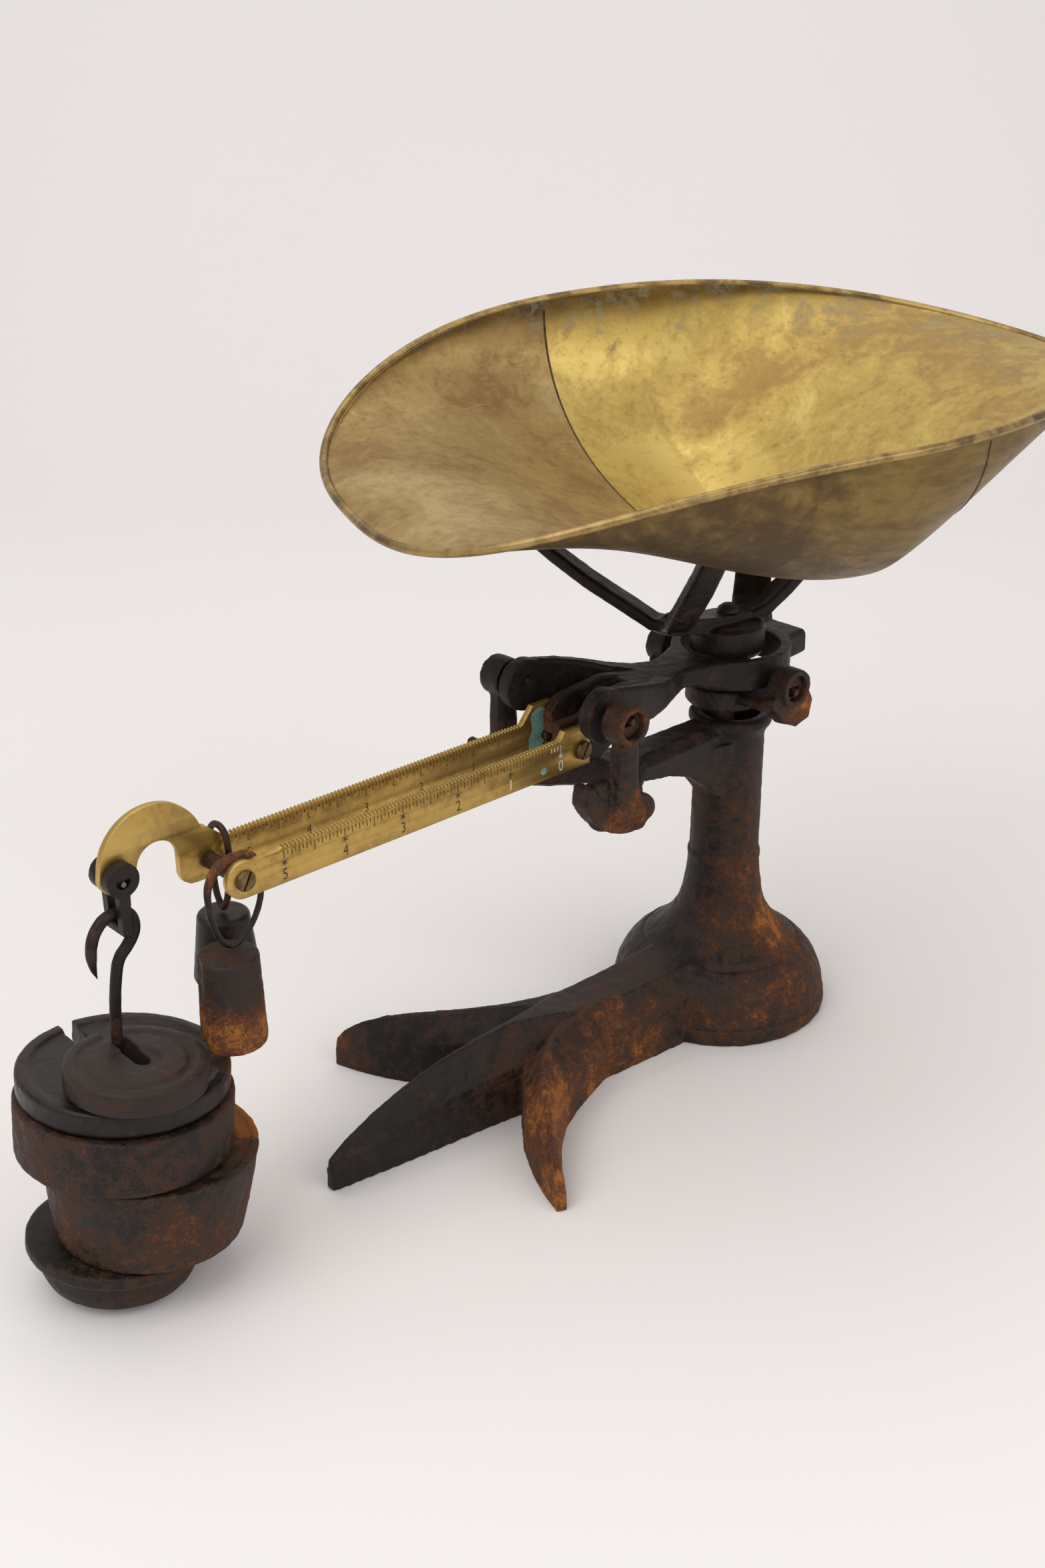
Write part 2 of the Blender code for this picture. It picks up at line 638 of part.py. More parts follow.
def make_yoke():
    yoke = turned("yoke", [(0, 190), (19.6, 190), (20.7, 188.8), (20.7, 180), (19, 178.5), (0, 178.5)], steps=28)
    for vertex in yoke.data.vertices:
        vertex.co.x += CARRIER_X * MM
    for side, word in ((-1, "front"), (1, "rear")):
        run = [(0, -18, 8, 180, 189), (20, -17, 9, 179, 189.5), (31, -17, 11, 176, 190.5),
               (37, -19, 13.5, 173.5, 193), (43.5, -18, 13, 174, 195)]
        arm = loft(word + "_yoke_arm", [
            [(left, side * y, top - 2), (left + 3, side * y, top), (right - 5, side * y, top),
             (right, side * y, top - 8), (right - 2, side * y, bottom + 3), (right - 12, side * y, bottom),
             (left + 10, side * y, bottom + 4), (left, side * y, top - 6)]
            for y, left, right, bottom, top in run])
        low, high = sorted((side * (BOSS_INNER_Y + 0.2), side * 48.5))
        place = (CARRIER_X, CARRIER_Z)
        join(yoke, arm, cylinder(word + "_load_boss", BOSS_RADIUS, low, high, place, "Y", 20))
        cut(yoke, cylinder(word + "_load_bore", BOSS_BORE, low - 3, high + 3, place, "Y", 16))
    cut(yoke, cylinder("stem_hole", STEM_RADIUS + GAP, 160, 200, (CARRIER_X, 0), "Z", 16))
    return finish(yoke, IRON)


def make_stem():
    """Stem, slotted at its foot for the check link and bored for the check pin."""
    stem = cylinder("stem", STEM_RADIUS, STEM_FOOT, 213.7, (CARRIER_X, 0), "Z", 16)
    slot = box("foot_slot", (-20, -2, 5), (10, 2, 26))
    hole = cylinder("check_pin_hole", CHECK_PIN_RADIUS + GAP, -9, 9, (CARRIER_X, link_end_height()), "Y", 16)
    return finish(cut(stem, slot, hole), STEEL)


def link_end_height():
    """Height of the check link's stem end, level with the stud as the load edge is with the fulcrum."""
    return STUD_HEIGHT - (FULCRUM[2] - CARRIER_Z)


def make_check_pin():
    pin = cylinder("check_pin", CHECK_PIN_RADIUS, -5.2, 5.2, (CARRIER_X, link_end_height()), "Y", 16)
    return finish(pin, STEEL)


def spider_arm(name, elbow, azimuth, side, run):
    """Flat arm that rises from an elbow of the cross bar; run lists (out, rise, half width)."""
    heading = Vector((math.cos(azimuth), math.sin(azimuth) * side, 0))
    across = Vector((-heading.y, heading.x, 0))
    sections = []
    for i, (out, rise, half) in enumerate(run):
        before = run[max(i - 1, 0)]
        after = run[min(i + 1, len(run) - 1)]
        slope = math.atan2(after[1] - before[1], after[0] - before[0])
        up = Vector((0, 0, math.cos(slope))) - heading * math.sin(slope)
        middle = Vector(elbow) + heading * out + Vector((0, 0, rise))
        corners = ((half, -2.4), (half - 2, -3.4), (2 - half, -3.4), (-half, -2.4), (-half, 2.4), (2 - half, 3.4),
                   (half - 2, 3.4), (half, 2.4))
        sections.append([middle + across * a + up * b for a, b in corners])
    return loft(name, sections)


def make_spider():
    profile = [(0, 222.5), (16, 222.5), (HUB_RADIUS, 220.5), (HUB_RADIUS, 209), (18, 206.2), (15, 205), (0, 205)]
    spider = turned("spider", profile, steps=28)
    for vertex in spider.data.vertices:
        vertex.co.x += CARRIER_X * MM
    bar = [(-47, 8, 6.5, 228.5, 222), (-38, 7, 7.5, 229, 221), (-18, 3, 8.5, 227, 218), (20, 0, 9, 226, 218)]
    join(spider, loft("cross_bar", [
        [(x, y - half, bottom), (x, y + half, bottom), (x, y + half - 1, top), (x, y - half + 1, top)]
        for x, y, half, top, bottom in bar]))
    for side, word in ((-1, "front"), (1, "rear")):
        lift = 224 + 0.2 * side
        left_arm = FRONT_ARM if side < 0 else REAR_ARM
        elbow = (-40, 7.5 + 1.5 * side, lift + 1)
        join(spider, spider_arm(word + "_left_arm", elbow, math.radians(120), side, left_arm),
             spider_arm(word + "_right_arm", (14, 2 * side, lift), math.radians(38), side, STEEP_ARM))
    cut(spider, scoop_envelope(), cylinder("stem_socket", STEM_RADIUS + GAP, 190, 214, (CARRIER_X, 0), "Z", 16))
    return finish(spider, IRON)


def make_hub_rivet():
    profile = [(0, 231.4), (3, 231), (5.4, 229.2), (6, 227.2), (0, 227.2)]
    rivet = turned("hub_rivet", profile, steps=20)
    for vertex in rivet.data.vertices:
        vertex.co.x += CARRIER_X * MM
    return finish(rivet, IRON)


def make_guide_rod():
    """Thin rod between the yoke's collar and the spider's hub."""
    rod = cylinder("guide_rod", 1.5, 190.3, 204.7, (CARRIER_X + 12.5, -4), "Z", 12)
    return finish(rod, IRON)


def make_check_link():
    stud = (FULCRUM[0], STUD_HEIGHT)
    end = (CARRIER_X, link_end_height())
    slope = math.degrees(math.atan2(end[1] - stud[1], end[0] - stud[0]))
    outline = arc(stud, 5.2, slope + 90, slope + 270, 10) + arc(end, 4.6, slope - 90, slope + 90, 10)
    holes = [arc(stud, STUD_RADIUS + GAP, 0, 342, 19), arc(end, CHECK_PIN_RADIUS + GAP, 0, 337.5, 15)]
    return finish(plate("check_link", [outline] + holes, -1.6, 1.6), STEEL)


# ---------------------------------------------------------------- scoop


def scoop_point(along, around, inset=0.0, sink=0.0):
    """Point of the scoop's wall.

    along is -90 at the blunt end, 0 in the middle and 90 at the narrow end; around
    is -90 at the front rim, 0 at the bottom and 90 at the rear rim, all in degrees.
    """
    length, end_power, side_power, rise, _, _ = SCOOP_BLUNT if along < 0 else SCOOP_NARROW
    angle = math.radians(abs(along))
    reach = math.sin(angle) ** (2 / end_power)
    width = (SCOOP_HALF_WIDTH - inset) * math.cos(angle) ** (2 / side_power)
    turn = math.radians(around)
    across = width * math.copysign(abs(math.sin(turn)) ** (2 / SCOOP_SECTION), turn)
    out = math.copysign((length - inset) * reach, along)
    depth = scoop_depth(out, sink)
    up = rise * reach ** 2.5 - depth * abs(math.cos(turn)) ** (2 / SCOOP_SECTION)
    place = Matrix.Rotation(SCOOP_YAW, 3, "Z") @ Matrix.Rotation(-SCOOP_TILT, 3, "Y")
    place = place @ Matrix.Rotation(SCOOP_ROLL, 3, "X")
    return Vector(SCOOP_CENTRE) + place @ Vector((out, across, up))


def scoop_depth(out, sink):
    """Depth of the bowl below its rim, fading from the deepest point to both ends."""
    length, _, _, _, power, fade = SCOOP_BLUNT if out < SCOOP_DEEPEST else SCOOP_NARROW
    reach = abs(out - SCOOP_DEEPEST) / (length - math.copysign(SCOOP_DEEPEST, out - SCOOP_DEEPEST))
    return (SCOOP_DEPTH + sink) * (1 - min(reach, 1.0) ** power) ** fade


def seam_angle(out, inset=0.0):
    """The along angle of a point at the distance out from the scoop's middle."""
    length, end_power = (SCOOP_BLUNT if out < 0 else SCOOP_NARROW)[:2]
    reach = (abs(out) / (length - inset)) ** (end_power / 2)
    return math.copysign(math.degrees(math.asin(reach)), out)


def make_sheet(name, start, end, rows, columns=14):
    """One soldered sheet of the scoop, between two along angles."""
    mesh = bpy.data.meshes.new(name)
    points = []
    for i in range(rows + 1):
        along = start + (end - start) * i / rows
        for j in range(columns + 1):
            points.append(scoop_point(along, -90 + 180 * j / columns, RIM_INSET) * MM)
    faces = [(i * (columns + 1) + j, i * (columns + 1) + j + 1, (i + 1) * (columns + 1) + j + 1,
              (i + 1) * (columns + 1) + j) for i in range(rows) for j in range(columns)]
    mesh.from_pydata(points, [], faces)
    sheet = weld(new_object(name, mesh))
    wall = sheet.modifiers.new("wall", "SOLIDIFY")
    wall.thickness = SHEET_THICKNESS * MM
    wall.offset = 0
    return finish(sheet, BRASS)


def make_scoop():
    left, right = SCOOP_SEAMS
    things = [
        make_sheet("scoop_blunt_sheet", -89.5, seam_angle(left - 0.5, RIM_INSET), 8),
        make_sheet("scoop_middle_sheet", seam_angle(left + 0.5, RIM_INSET), seam_angle(right - 0.5, RIM_INSET), 5),
        make_sheet("scoop_narrow_sheet", seam_angle(right + 0.5, RIM_INSET), 88, 8)]
    front = [scoop_point(-89 + 178 * i / 24, -90) for i in range(25)]
    rear = [scoop_point(89 - 178 * i / 24, 90) for i in range(25)]
    things.append(finish(wire("scoop_rim", front + rear, RIM_RADIUS, closed=True, sides=1), BRASS))
    return things


def scoop_envelope():
    """Everything above the scoop's underside, with clearance: the arms end where it starts."""
    grow = SHEET_THICKNESS / 2 + GAP + 0.7
    sections = []
    for i in range(21):
        along = -82 + 164 * i / 20
        bottom = [scoop_point(along, -80 + 160 * j / 20, -grow, grow) for j in range(21)]
        lift = Vector((0, 0, 80))
        sections.append(bottom + [bottom[-1] + lift, bottom[0] + lift])
    return loft("scoop_envelope", sections)


# ---------------------------------------------------------------- stirrup, hanger and weights


def make_stirrup():
    """U-shaped stirrup: two eyes on the tip edge, joined by a bar for the hook."""
    x = HANGER_PIVOT[0] + 0.5
    z = 191.5
    things = []
    for low, high in ((6.2, 10.7), (16.7, 21.2)):
        outline = arc((x, z), 7.6, -70, 250, 18)
        outline += [(x - 2.4, 178), (x - 2.2, 167), (x + 2.2, 167), (x + 2.4, 178)]
        things.append(plate(f"stirrup_ear_{len(things)}", [outline, seat((x, z), 3.4, 0.4)], low, high))
    bar = box("stirrup", (x - 2.2, 6.3, 165.9), (x + 2.2, 21.1, STIRRUP_BAR_TOP), 0.8)
    return finish(join(bar, *things), IRON)


def make_hook():
    """Open hook and the rod below it."""
    bend = [(-12.4, -18.5), (-13.6, -11), (-12.6, -4.5), (-8.5, 1.6), (-2.2, 4.3), (4.2, 3.5), (8.0, -0.6),
            (8.0, -6.2), (4.4, -11.8), (0.6, -16.5), (ROD_X, -22)]
    path = smooth_path([(x, 0, z) for x, z in bend], 2)
    path += [Vector((ROD_X, 0, z)) for z in (-60, -110, -155)]
    return finish(wire("hanger_hook", path, WIRE_RADIUS), IRON)


def make_dish():
    """Round base of the hanger: a drum with a wider flange on top."""
    profile = [(0, -145.3), (39.6, -145.3), (40.3, -146), (40.3, -150.6), (39.6, -151.4), (35.6, -152),
               (34.5, -160), (31.5, -166.6), (29, -168.1), (0, -168.1)]
    dish = turned("hanger_base", profile, steps=28)
    socket = cylinder("rod_socket", WIRE_RADIUS + GAP, -155.3, -140, (0, 0), "Z", 16)
    cut(dish, socket)
    for thing in (dish, socket):
        for vertex in thing.data.vertices:
            vertex.co.x += ROD_X * MM
    return finish(dish, RUST)


def make_weight(name, low, high, offset, low_radius, high_radius, slot_end):
    """Slotted weight; offset is its centre from the rod, slot_end where the slot stops behind the rod."""
    weight = cylinder(name, low_radius, low, high, (ROD_X + offset[0], offset[1]), "Z", 32, high_radius)
    half = WIRE_RADIUS + 0.7
    round_end = arc((ROD_X, -slot_end), half, 180, 360, 6)
    outline = round_end + [(ROD_X + half, 70), (ROD_X - half, 70)]
    cut(weight, plate(name + "_slot", [outline], low - 5, high + 5, across="Z"))
    edge = weight.modifiers.new("edges", "BEVEL")
    edge.width = 1.2 * MM
    edge.segments = 1
    edge.limit_method = "ANGLE"
    edge.angle_limit = math.radians(50)
    return finish(weight, RUST)


WEIGHTS = (
    ("weight_top", -64.7, -53.2, (-2.6, -19.5), 30.0, 29.6, 20),
    ("weight_second", -76.0, -65.0, (3, 0), 45.1, 45.1, 1),
    ("weight_third", -102.5, -76.3, (2, -2), 46.6, 46.8, 1),
    ("weight_bottom", -145.0, -102.8, (12, -6), 40.5, 46.8, 1),
)


# ---------------------------------------------------------------- poises


def make_front_poise():
    x, y = FRONT_POISE
    profile = [(0, 151.4), (12.6, 151.4), (13.3, 150.6), (14.8, 110), (14.4, 108.6), (0, 108.6)]
    poise = turned("front_poise", profile, steps=28)
    hollow = cylinder("poise_hollow", 16, 100, 160, (-26.5, 9), "Z", 32)
    cut(poise, hollow)
    for thing in (poise, hollow):
        for vertex in thing.data.vertices:
            vertex.co.x += x * MM
            vertex.co.y += y * MM
    return finish(poise, RUST)


def make_rear_poise():
    x, y = REAR_POISE
    profile = [(0, 154.6), (10.8, 154.6), (11.6, 153.6), (14.9, 123.4), (14.3, 121.4), (0, 121.4)]
    poise = turned("rear_poise", profile, steps=24)
    for vertex in poise.data.vertices:
        vertex.co.x += x * MM
        vertex.co.y += y * MM
    return finish(poise, IRON)


def make_front_loop():
    """Oval wire loop round the spacer, closing at the front poise's top."""
    y = FRONT_POISE[1]
    oval = [(-316.1, 193.2), (-323.5, 192), (-329.6, 186), (-331, 176), (-328.5, 164), (-323.5, 155.2),
            (-319.5, 153.6), (-314, 156.5), (-307, 166), (-304.2, 177), (-305.4, 187), (-309.5, 191.8)]
    path = smooth_path([(x, y, z) for x, z in oval], 2, closed=True)
    return finish(wire("front_loop", path, LOOP_WIRE, closed=True, sides=1), IRON)


def make_rear_loop():
    """Wire loop over the rear bar, leaning to the rear poise's top."""
    x, y = REAR_POISE
    oval = [(0, 1), (4.2, 0.96), (6.6, 0.84), (6.9, 0.6), (5.6, 0.3), (3, 0.08), (0, 0), (-3, 0.08), (-5.6, 0.3),
            (-6.9, 0.6), (-6.6, 0.84), (-4.2, 0.96)]
    low = 156.8
    high = 198.5
    places = []
    for across, share in oval:
        lean = x - 2.5 * share
        places.append((lean, y + (BEAM_END_Y - y) * share + across, low + (high - low) * share))
    path = smooth_path(places, 2, closed=True)
    return finish(wire("rear_loop", path, LOOP_WIRE, closed=True, sides=1), IRON)


# ---------------------------------------------------------------- assembly


def stand_on_origin(root):
    """Moves the whole scale so that the middle of its plan is at the origin."""
    bpy.context.view_layer.update()
    graph = bpy.context.evaluated_depsgraph_get()
    xs = []
    ys = []
    for thing in parts.objects:
        if thing.type != "MESH":
            continue
        shown = thing.evaluated_get(graph)
        for vertex in shown.data.vertices:
            place = shown.matrix_world @ vertex.co
            xs.append(place.x)
            ys.append(place.y)
    root.location = (-(min(xs) + max(xs)) / 2, -(min(ys) + max(ys)) / 2, 0)


def main():
    clear_scene()
    root = body("stand", (0, 0, 0))
    things = [make_pedestal(), make_leg(), make_bracket(), make_check_stud()]
    for side, word in ((-1, "front"), (1, "rear")):
        things.append(bearing(word + "_fulcrum_bearing", (FULCRUM[0], FULCRUM[2]), -GAP, side))
    carry(root, *things)

    beam = make_beam(root)
    carrier = body("carrier_pivot", (CARRIER_X, 0, CARRIER_Z), beam)
    carry(carrier, make_yoke(), make_stem(), make_spider(), make_hub_rivet(), make_guide_rod(), make_check_pin())
    for side, word in ((-1, "front"), (1, "rear")):
        carry(carrier, bearing(word + "_load_bearing", (CARRIER_X, CARRIER_Z), GAP, side))
    carry(body("check_link_pivot", (FULCRUM[0], 0, STUD_HEIGHT), root), make_check_link())
    carry(body("scoop_seat", SCOOP_CENTRE, carrier), *make_scoop())

    carry(body("front_poise_pivot", (FULCRUM[0] + BAR_END_X, FRONT_POISE[1], 191), beam),
          make_front_loop(), make_front_poise())
    slider = body("rear_loop_slider", (-310, BEAM_END_Y, 196), beam)
    carry(slider, make_rear_loop())
    carry(body("rear_poise_pivot", (REAR_POISE[0], REAR_POISE[1], 156.8), slider), make_rear_poise())

    stirrup = body("stirrup_pivot", (HANGER_PIVOT[0] + 0.5, BEAM_END_Y, 191.5), beam)
    carry(stirrup, make_stirrup())
    hanger = body("hanger_pivot", HANGER_PIVOT, stirrup, HANGER_LEAN)
    carry_own(hanger, make_hook(), make_dish())
    for weight in WEIGHTS:
        carry_own(hanger, make_weight(*weight))
    stand_on_origin(root)


main()
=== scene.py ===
"""Looks of the counter beam scale: worn cast iron, graduated brass bars and a patinated brass scoop.

The object's lengths are in millimetres from the column's axis at floor level, +X towards
the scoop's narrow end and -Y to the front. The beam and the hanger have frames of their own.
The stage and its lights are placed in metres.
"""

import json
import math

import bmesh
import bpy
from mathutils import Matrix, Vector


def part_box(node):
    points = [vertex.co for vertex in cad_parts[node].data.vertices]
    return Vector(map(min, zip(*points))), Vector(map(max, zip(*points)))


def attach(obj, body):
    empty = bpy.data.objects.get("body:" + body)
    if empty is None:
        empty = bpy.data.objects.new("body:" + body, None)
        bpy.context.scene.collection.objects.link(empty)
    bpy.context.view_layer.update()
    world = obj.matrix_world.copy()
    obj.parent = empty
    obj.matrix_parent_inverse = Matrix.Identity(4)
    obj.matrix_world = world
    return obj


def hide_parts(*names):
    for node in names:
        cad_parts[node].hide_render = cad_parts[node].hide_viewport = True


MM = 0.001
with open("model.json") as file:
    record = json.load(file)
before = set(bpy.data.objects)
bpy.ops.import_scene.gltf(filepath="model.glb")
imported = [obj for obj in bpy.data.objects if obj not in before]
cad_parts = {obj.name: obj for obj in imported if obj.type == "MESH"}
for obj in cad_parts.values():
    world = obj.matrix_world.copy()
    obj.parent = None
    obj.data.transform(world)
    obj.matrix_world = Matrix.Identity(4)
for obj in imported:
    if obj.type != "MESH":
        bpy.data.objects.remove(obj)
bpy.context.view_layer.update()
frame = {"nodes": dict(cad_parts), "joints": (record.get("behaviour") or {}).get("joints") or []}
NODES = frame["nodes"]
JOINTS = {joint["name"]: joint for joint in frame["joints"]}

foot_low, foot_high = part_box("pedestal")
COLUMN = Matrix.Translation(((foot_low.x + foot_high.x) / 2, (foot_low.y + foot_high.y) / 2, 0))
BEAM_TILT = math.radians(-0.96)
HANGER_LEAN = math.radians(5.2)
BEAM = Matrix.Translation(JOINTS["beam_swing"]["pos_m"]) @ Matrix.Rotation(BEAM_TILT, 4, "Y")
HANGER = Matrix.Translation(JOINTS["hanger_swing"]["pos_m"]) @ Matrix.Rotation(HANGER_LEAN, 4, "Y")

# Bars, in the beam's frame
BAR_BOTTOM = -30.0
BAR_TOP = -13.0
BAR_RIGHT = 4.5
BAR_END_X = -193.4
FRONT_BAR_Y = (-14.3, -10.9)
REAR_BAR_Y = (12.0, 15.4)
SCREW_POINTS = ((-0.2, -21.9), (BAR_END_X, -21.5))
MARK_FIVE = -173.3
MARK_PITCH = 31.75
NOTCHES_PER_MARK = 16
NOTCH_PITCH = MARK_PITCH / NOTCHES_PER_MARK
LAST_NOTCH = 5 * NOTCHES_PER_MARK
NOTCH_BOTTOM = BAR_TOP - 1.15
INK_RAISE = 0.05
OVAL_LINE = 0.24
FRONT_MARKS_END_X = -22
REAR_MARKS_END_X = -30

# Stand: grooves on the dome (radius, height), the foot's wall and the middle toe
DOME_CREASE = (42.8, 38.6)
FOOT_RADIUS = 59.4
FOOT_LINE_HEIGHT = 9
LEG_START_X = -36
LEG_HALF_WIDTH = 27
TOE_START_X = -150
TOE_HALF_WIDTH = 16
TOE_LINE_SLOPE = 0.105

# Lumps that fill out the fork's front crescent, each with its place and its reach
CRESCENT_LUMPS = (
    ((-136, -37.8, 178), (8.5, 5.4, 6.5)), ((-131, -37.8, 165), (10, 6, 9)),
    ((-118, -38.6, 159), (9, 6.4, 8)), ((-107, -38, 161), (8, 6.8, 7.5)),
    ((-120, -38, 172), (10, 6.6, 9)), ((-112, -39.5, 155), (6, 4.6, 4)))

# How far the bearing rings are set back into their bosses
BEARING_INSET = 3.2

# Middle of each poise, seen from above
FRONT_POISE = (-323.0, -8.6)
REAR_POISE = (-307.0, 18.6)

# Scoop: (half length, outline powers, end's rise, powers of the bottom's fade) for each end
SCOOP_CENTRE = (-28.3, -17.4, 359.2)
SCOOP_YAW = math.radians(-18.7)
SCOOP_TILT = 0.051
SCOOP_ROLL = 0.095
SCOOP_HALF_WIDTH = 139.0
SCOOP_DEPTH = 92.7
SCOOP_DEEPEST = 19.7
SCOOP_SECTION = 2.37
SCOOP_BLUNT = (194.1, 2.78, 2.64, -43.7, 1.76, 1.66)
SCOOP_NARROW = (188.3, 1.82, 1.61, -17.5, 1.25, 2.3)
SCOOP_SEAMS = (-38.6, 49.3)
SEAM_OVERLAP = 0.4
SHEET_INSET = 2.4
SHEET_THICKNESS = 1.2
BEAD_RADIUS = 2.05

# Hanger, in its own frame
ROD_X = -1.0
WIRE_RADIUS = 2.65


# ---------------------------------------------------------------- materials


class Look:
    """A procedural material laid out in the object's own coordinates."""

    def __init__(self, name):
        self.material = bpy.data.materials.new(name)
        self.material.use_nodes = True
        self.tree = self.material.node_tree
        self.shader = self.tree.nodes["Principled BSDF"]
        self.place = self.tree.nodes.new("ShaderNodeTexCoord").outputs["Object"]

    def node(self, kind, inputs, output=0, **settings):
        made = self.tree.nodes.new("ShaderNode" + kind)
        for key, value in settings.items():
            setattr(made, key, value)
        for key, value in inputs.items():
            self.give(made.inputs[key], value)
        return made.outputs[output]

    def give(self, socket, value):
        if isinstance(value, bpy.types.NodeSocket):
            self.tree.links.new(value, socket)
        else:
            socket.default_value = value

    def noise(self, size, detail=5.0, roughness=0.6, stretch=None, distortion=0.0):
        """Noise between 0 and 1 with features about size millimetres across."""
        place = self.place
        if stretch:
            place = self.node("Mapping", {"Vector": place, "Scale": stretch})
        return self.node("TexNoise", {"Vector": place, "Scale": 1 / (size * MM), "Detail": detail,
                                      "Roughness": roughness, "Distortion": distortion})

    def fade(self, value, low, high, to_low=0.0, to_high=1.0):
        return self.node("MapRange", {"Value": value, "From Min": low, "From Max": high, "To Min": to_low,
                                      "To Max": to_high}, interpolation_type="SMOOTHSTEP")

    def math(self, operation, a, b=0.0):
        return self.node("Math", {0: a, 1: b}, operation=operation)

    def mix(self, factor, a, b):
        """Colour between a and b; the Mix node's own colour sockets are 6, 7 and output 2."""
        return self.node("Mix", {0: factor, 6: a, 7: b}, output=2, data_type="RGBA")

    def near(self, point, radius, strength=1.0):
        """Strength at a point in metres, fading to nothing at radius millimetres."""
        apart = self.node("VectorMath", {0: self.place, 1: tuple(point)}, output="Value",
                          operation="DISTANCE")
        return self.fade(apart, 0.25 * radius * MM, radius * MM, strength, 0.0)

    def along(self, direction, low, high, strength=1.0):
        """Rises from nothing to strength between two places, in metres, along a direction."""
        run = self.node("VectorMath", {0: self.place, 1: tuple(direction)}, output="Value",
                        operation="DOT_PRODUCT")
        return self.fade(run, low, high, 0.0, strength)

    def total(self, parts):
        value = parts[0]
        for part in parts[1:]:
            value = self.math("ADD", value, part)
        return value

    def bump(self, height, strength, distance, below=None):
        inputs = {"Height": height, "Strength": strength, "Distance": distance * MM}
        if below is not None:
            inputs["Normal"] = below
        return self.node("Bump", inputs)

    def finish(self, colour, roughness, metallic, normal=None):
        self.give(self.shader.inputs["Base Color"], colour)
        self.give(self.shader.inputs["Roughness"], roughness)
        self.give(self.shader.inputs["Metallic"], metallic)
        if normal is not None:
            self.give(self.shader.inputs["Normal"], normal)
        return self.material


BLACK = (0.0115, 0.0085, 0.0072, 1)
SOOT = (0.024, 0.0165, 0.0125, 1)
BROWN = (0.046, 0.0225, 0.0135, 1)
RUST = (0.125, 0.044, 0.017, 1)
ORANGE = (0.31, 0.115, 0.024, 1)

# Values of the rust field over which iron turns brown, rust red and orange
TURNS_BROWN = (0.52, 0.66)
TURNS_RUST = (0.73, 0.9)
TURNS_ORANGE = (1.04, 1.24)
RUST_FIELD_SHIFT = -0.925


def iron(name, rust=0.0, spots=(), gloss=0.5, grain=1.0, black=BLACK):
    """Old black iron that turns brown and then orange as the rust field rises."""
    look = Look(name)
    big = look.noise(34, 6, 0.62)
    small = look.noise(6.5, 8, 0.78)
    grit = look.noise(1.1, 4, 0.65)
    fields = [look.math("MULTIPLY", big, 0.9), look.math("MULTIPLY", small, 1.35),
              look.math("MULTIPLY", grit, 0.7), rust + RUST_FIELD_SHIFT]
    for spot in spots:
        fields.append(look.along(*spot) if len(spot) == 4 else look.near(*spot))
    field = look.total(fields)
    edge = look.fade(look.node("NewGeometry", {}, output="Pointiness"), 0.51, 0.58)
    brown = look.fade(field, *TURNS_BROWN)
    rusty = look.fade(field, *TURNS_RUST)
    bright = look.fade(look.math("ADD", field, look.math("MULTIPLY", small, 0.2)), *TURNS_ORANGE)
    base = look.mix(look.fade(small, 0.4, 0.7), black, SOOT)
    base = look.mix(look.math("MULTIPLY", edge, 0.35), base, BROWN)
    colour = look.mix(brown, base, BROWN)
    colour = look.mix(rusty, colour, RUST)
    colour = look.mix(bright, colour, ORANGE)
    roughness = look.total([look.fade(field, 0.5, 0.95, gloss, 0.86),
                            look.fade(small, 0.35, 0.65, -0.06, 0.07)])
    pits = look.math("ADD", look.math("MULTIPLY", grit, 0.4), look.math("MULTIPLY", small, 0.8))
    rough = look.math("MULTIPLY", look.noise(0.6, 3, 0.7), look.fade(field, 0.6, 0.95, 0.15, 1.0))
    normal = look.bump(pits, 0.35 * grain, 0.5)
    normal = look.bump(rough, 0.6 * grain, 0.35, normal)
    look.give(look.shader.inputs["Specular IOR Level"], 0.24)
    return look.finish(colour, roughness, 0.0, normal)


def steel(name):
    """Dull steel with rust in patches."""
    look = Look(name)
    small = look.noise(2.5, 5, 0.65)
    mask = look.fade(small, 0.47, 0.65)
    colour = look.mix(mask, (0.2, 0.17, 0.15, 1), (0.11, 0.05, 0.025, 1))
    roughness = look.fade(mask, 0, 1, 0.38, 0.8)
    metallic = look.fade(mask, 0, 1, 0.9, 0.1)
    return look.finish(colour, roughness, metallic, look.bump(small, 0.3, 0.2))


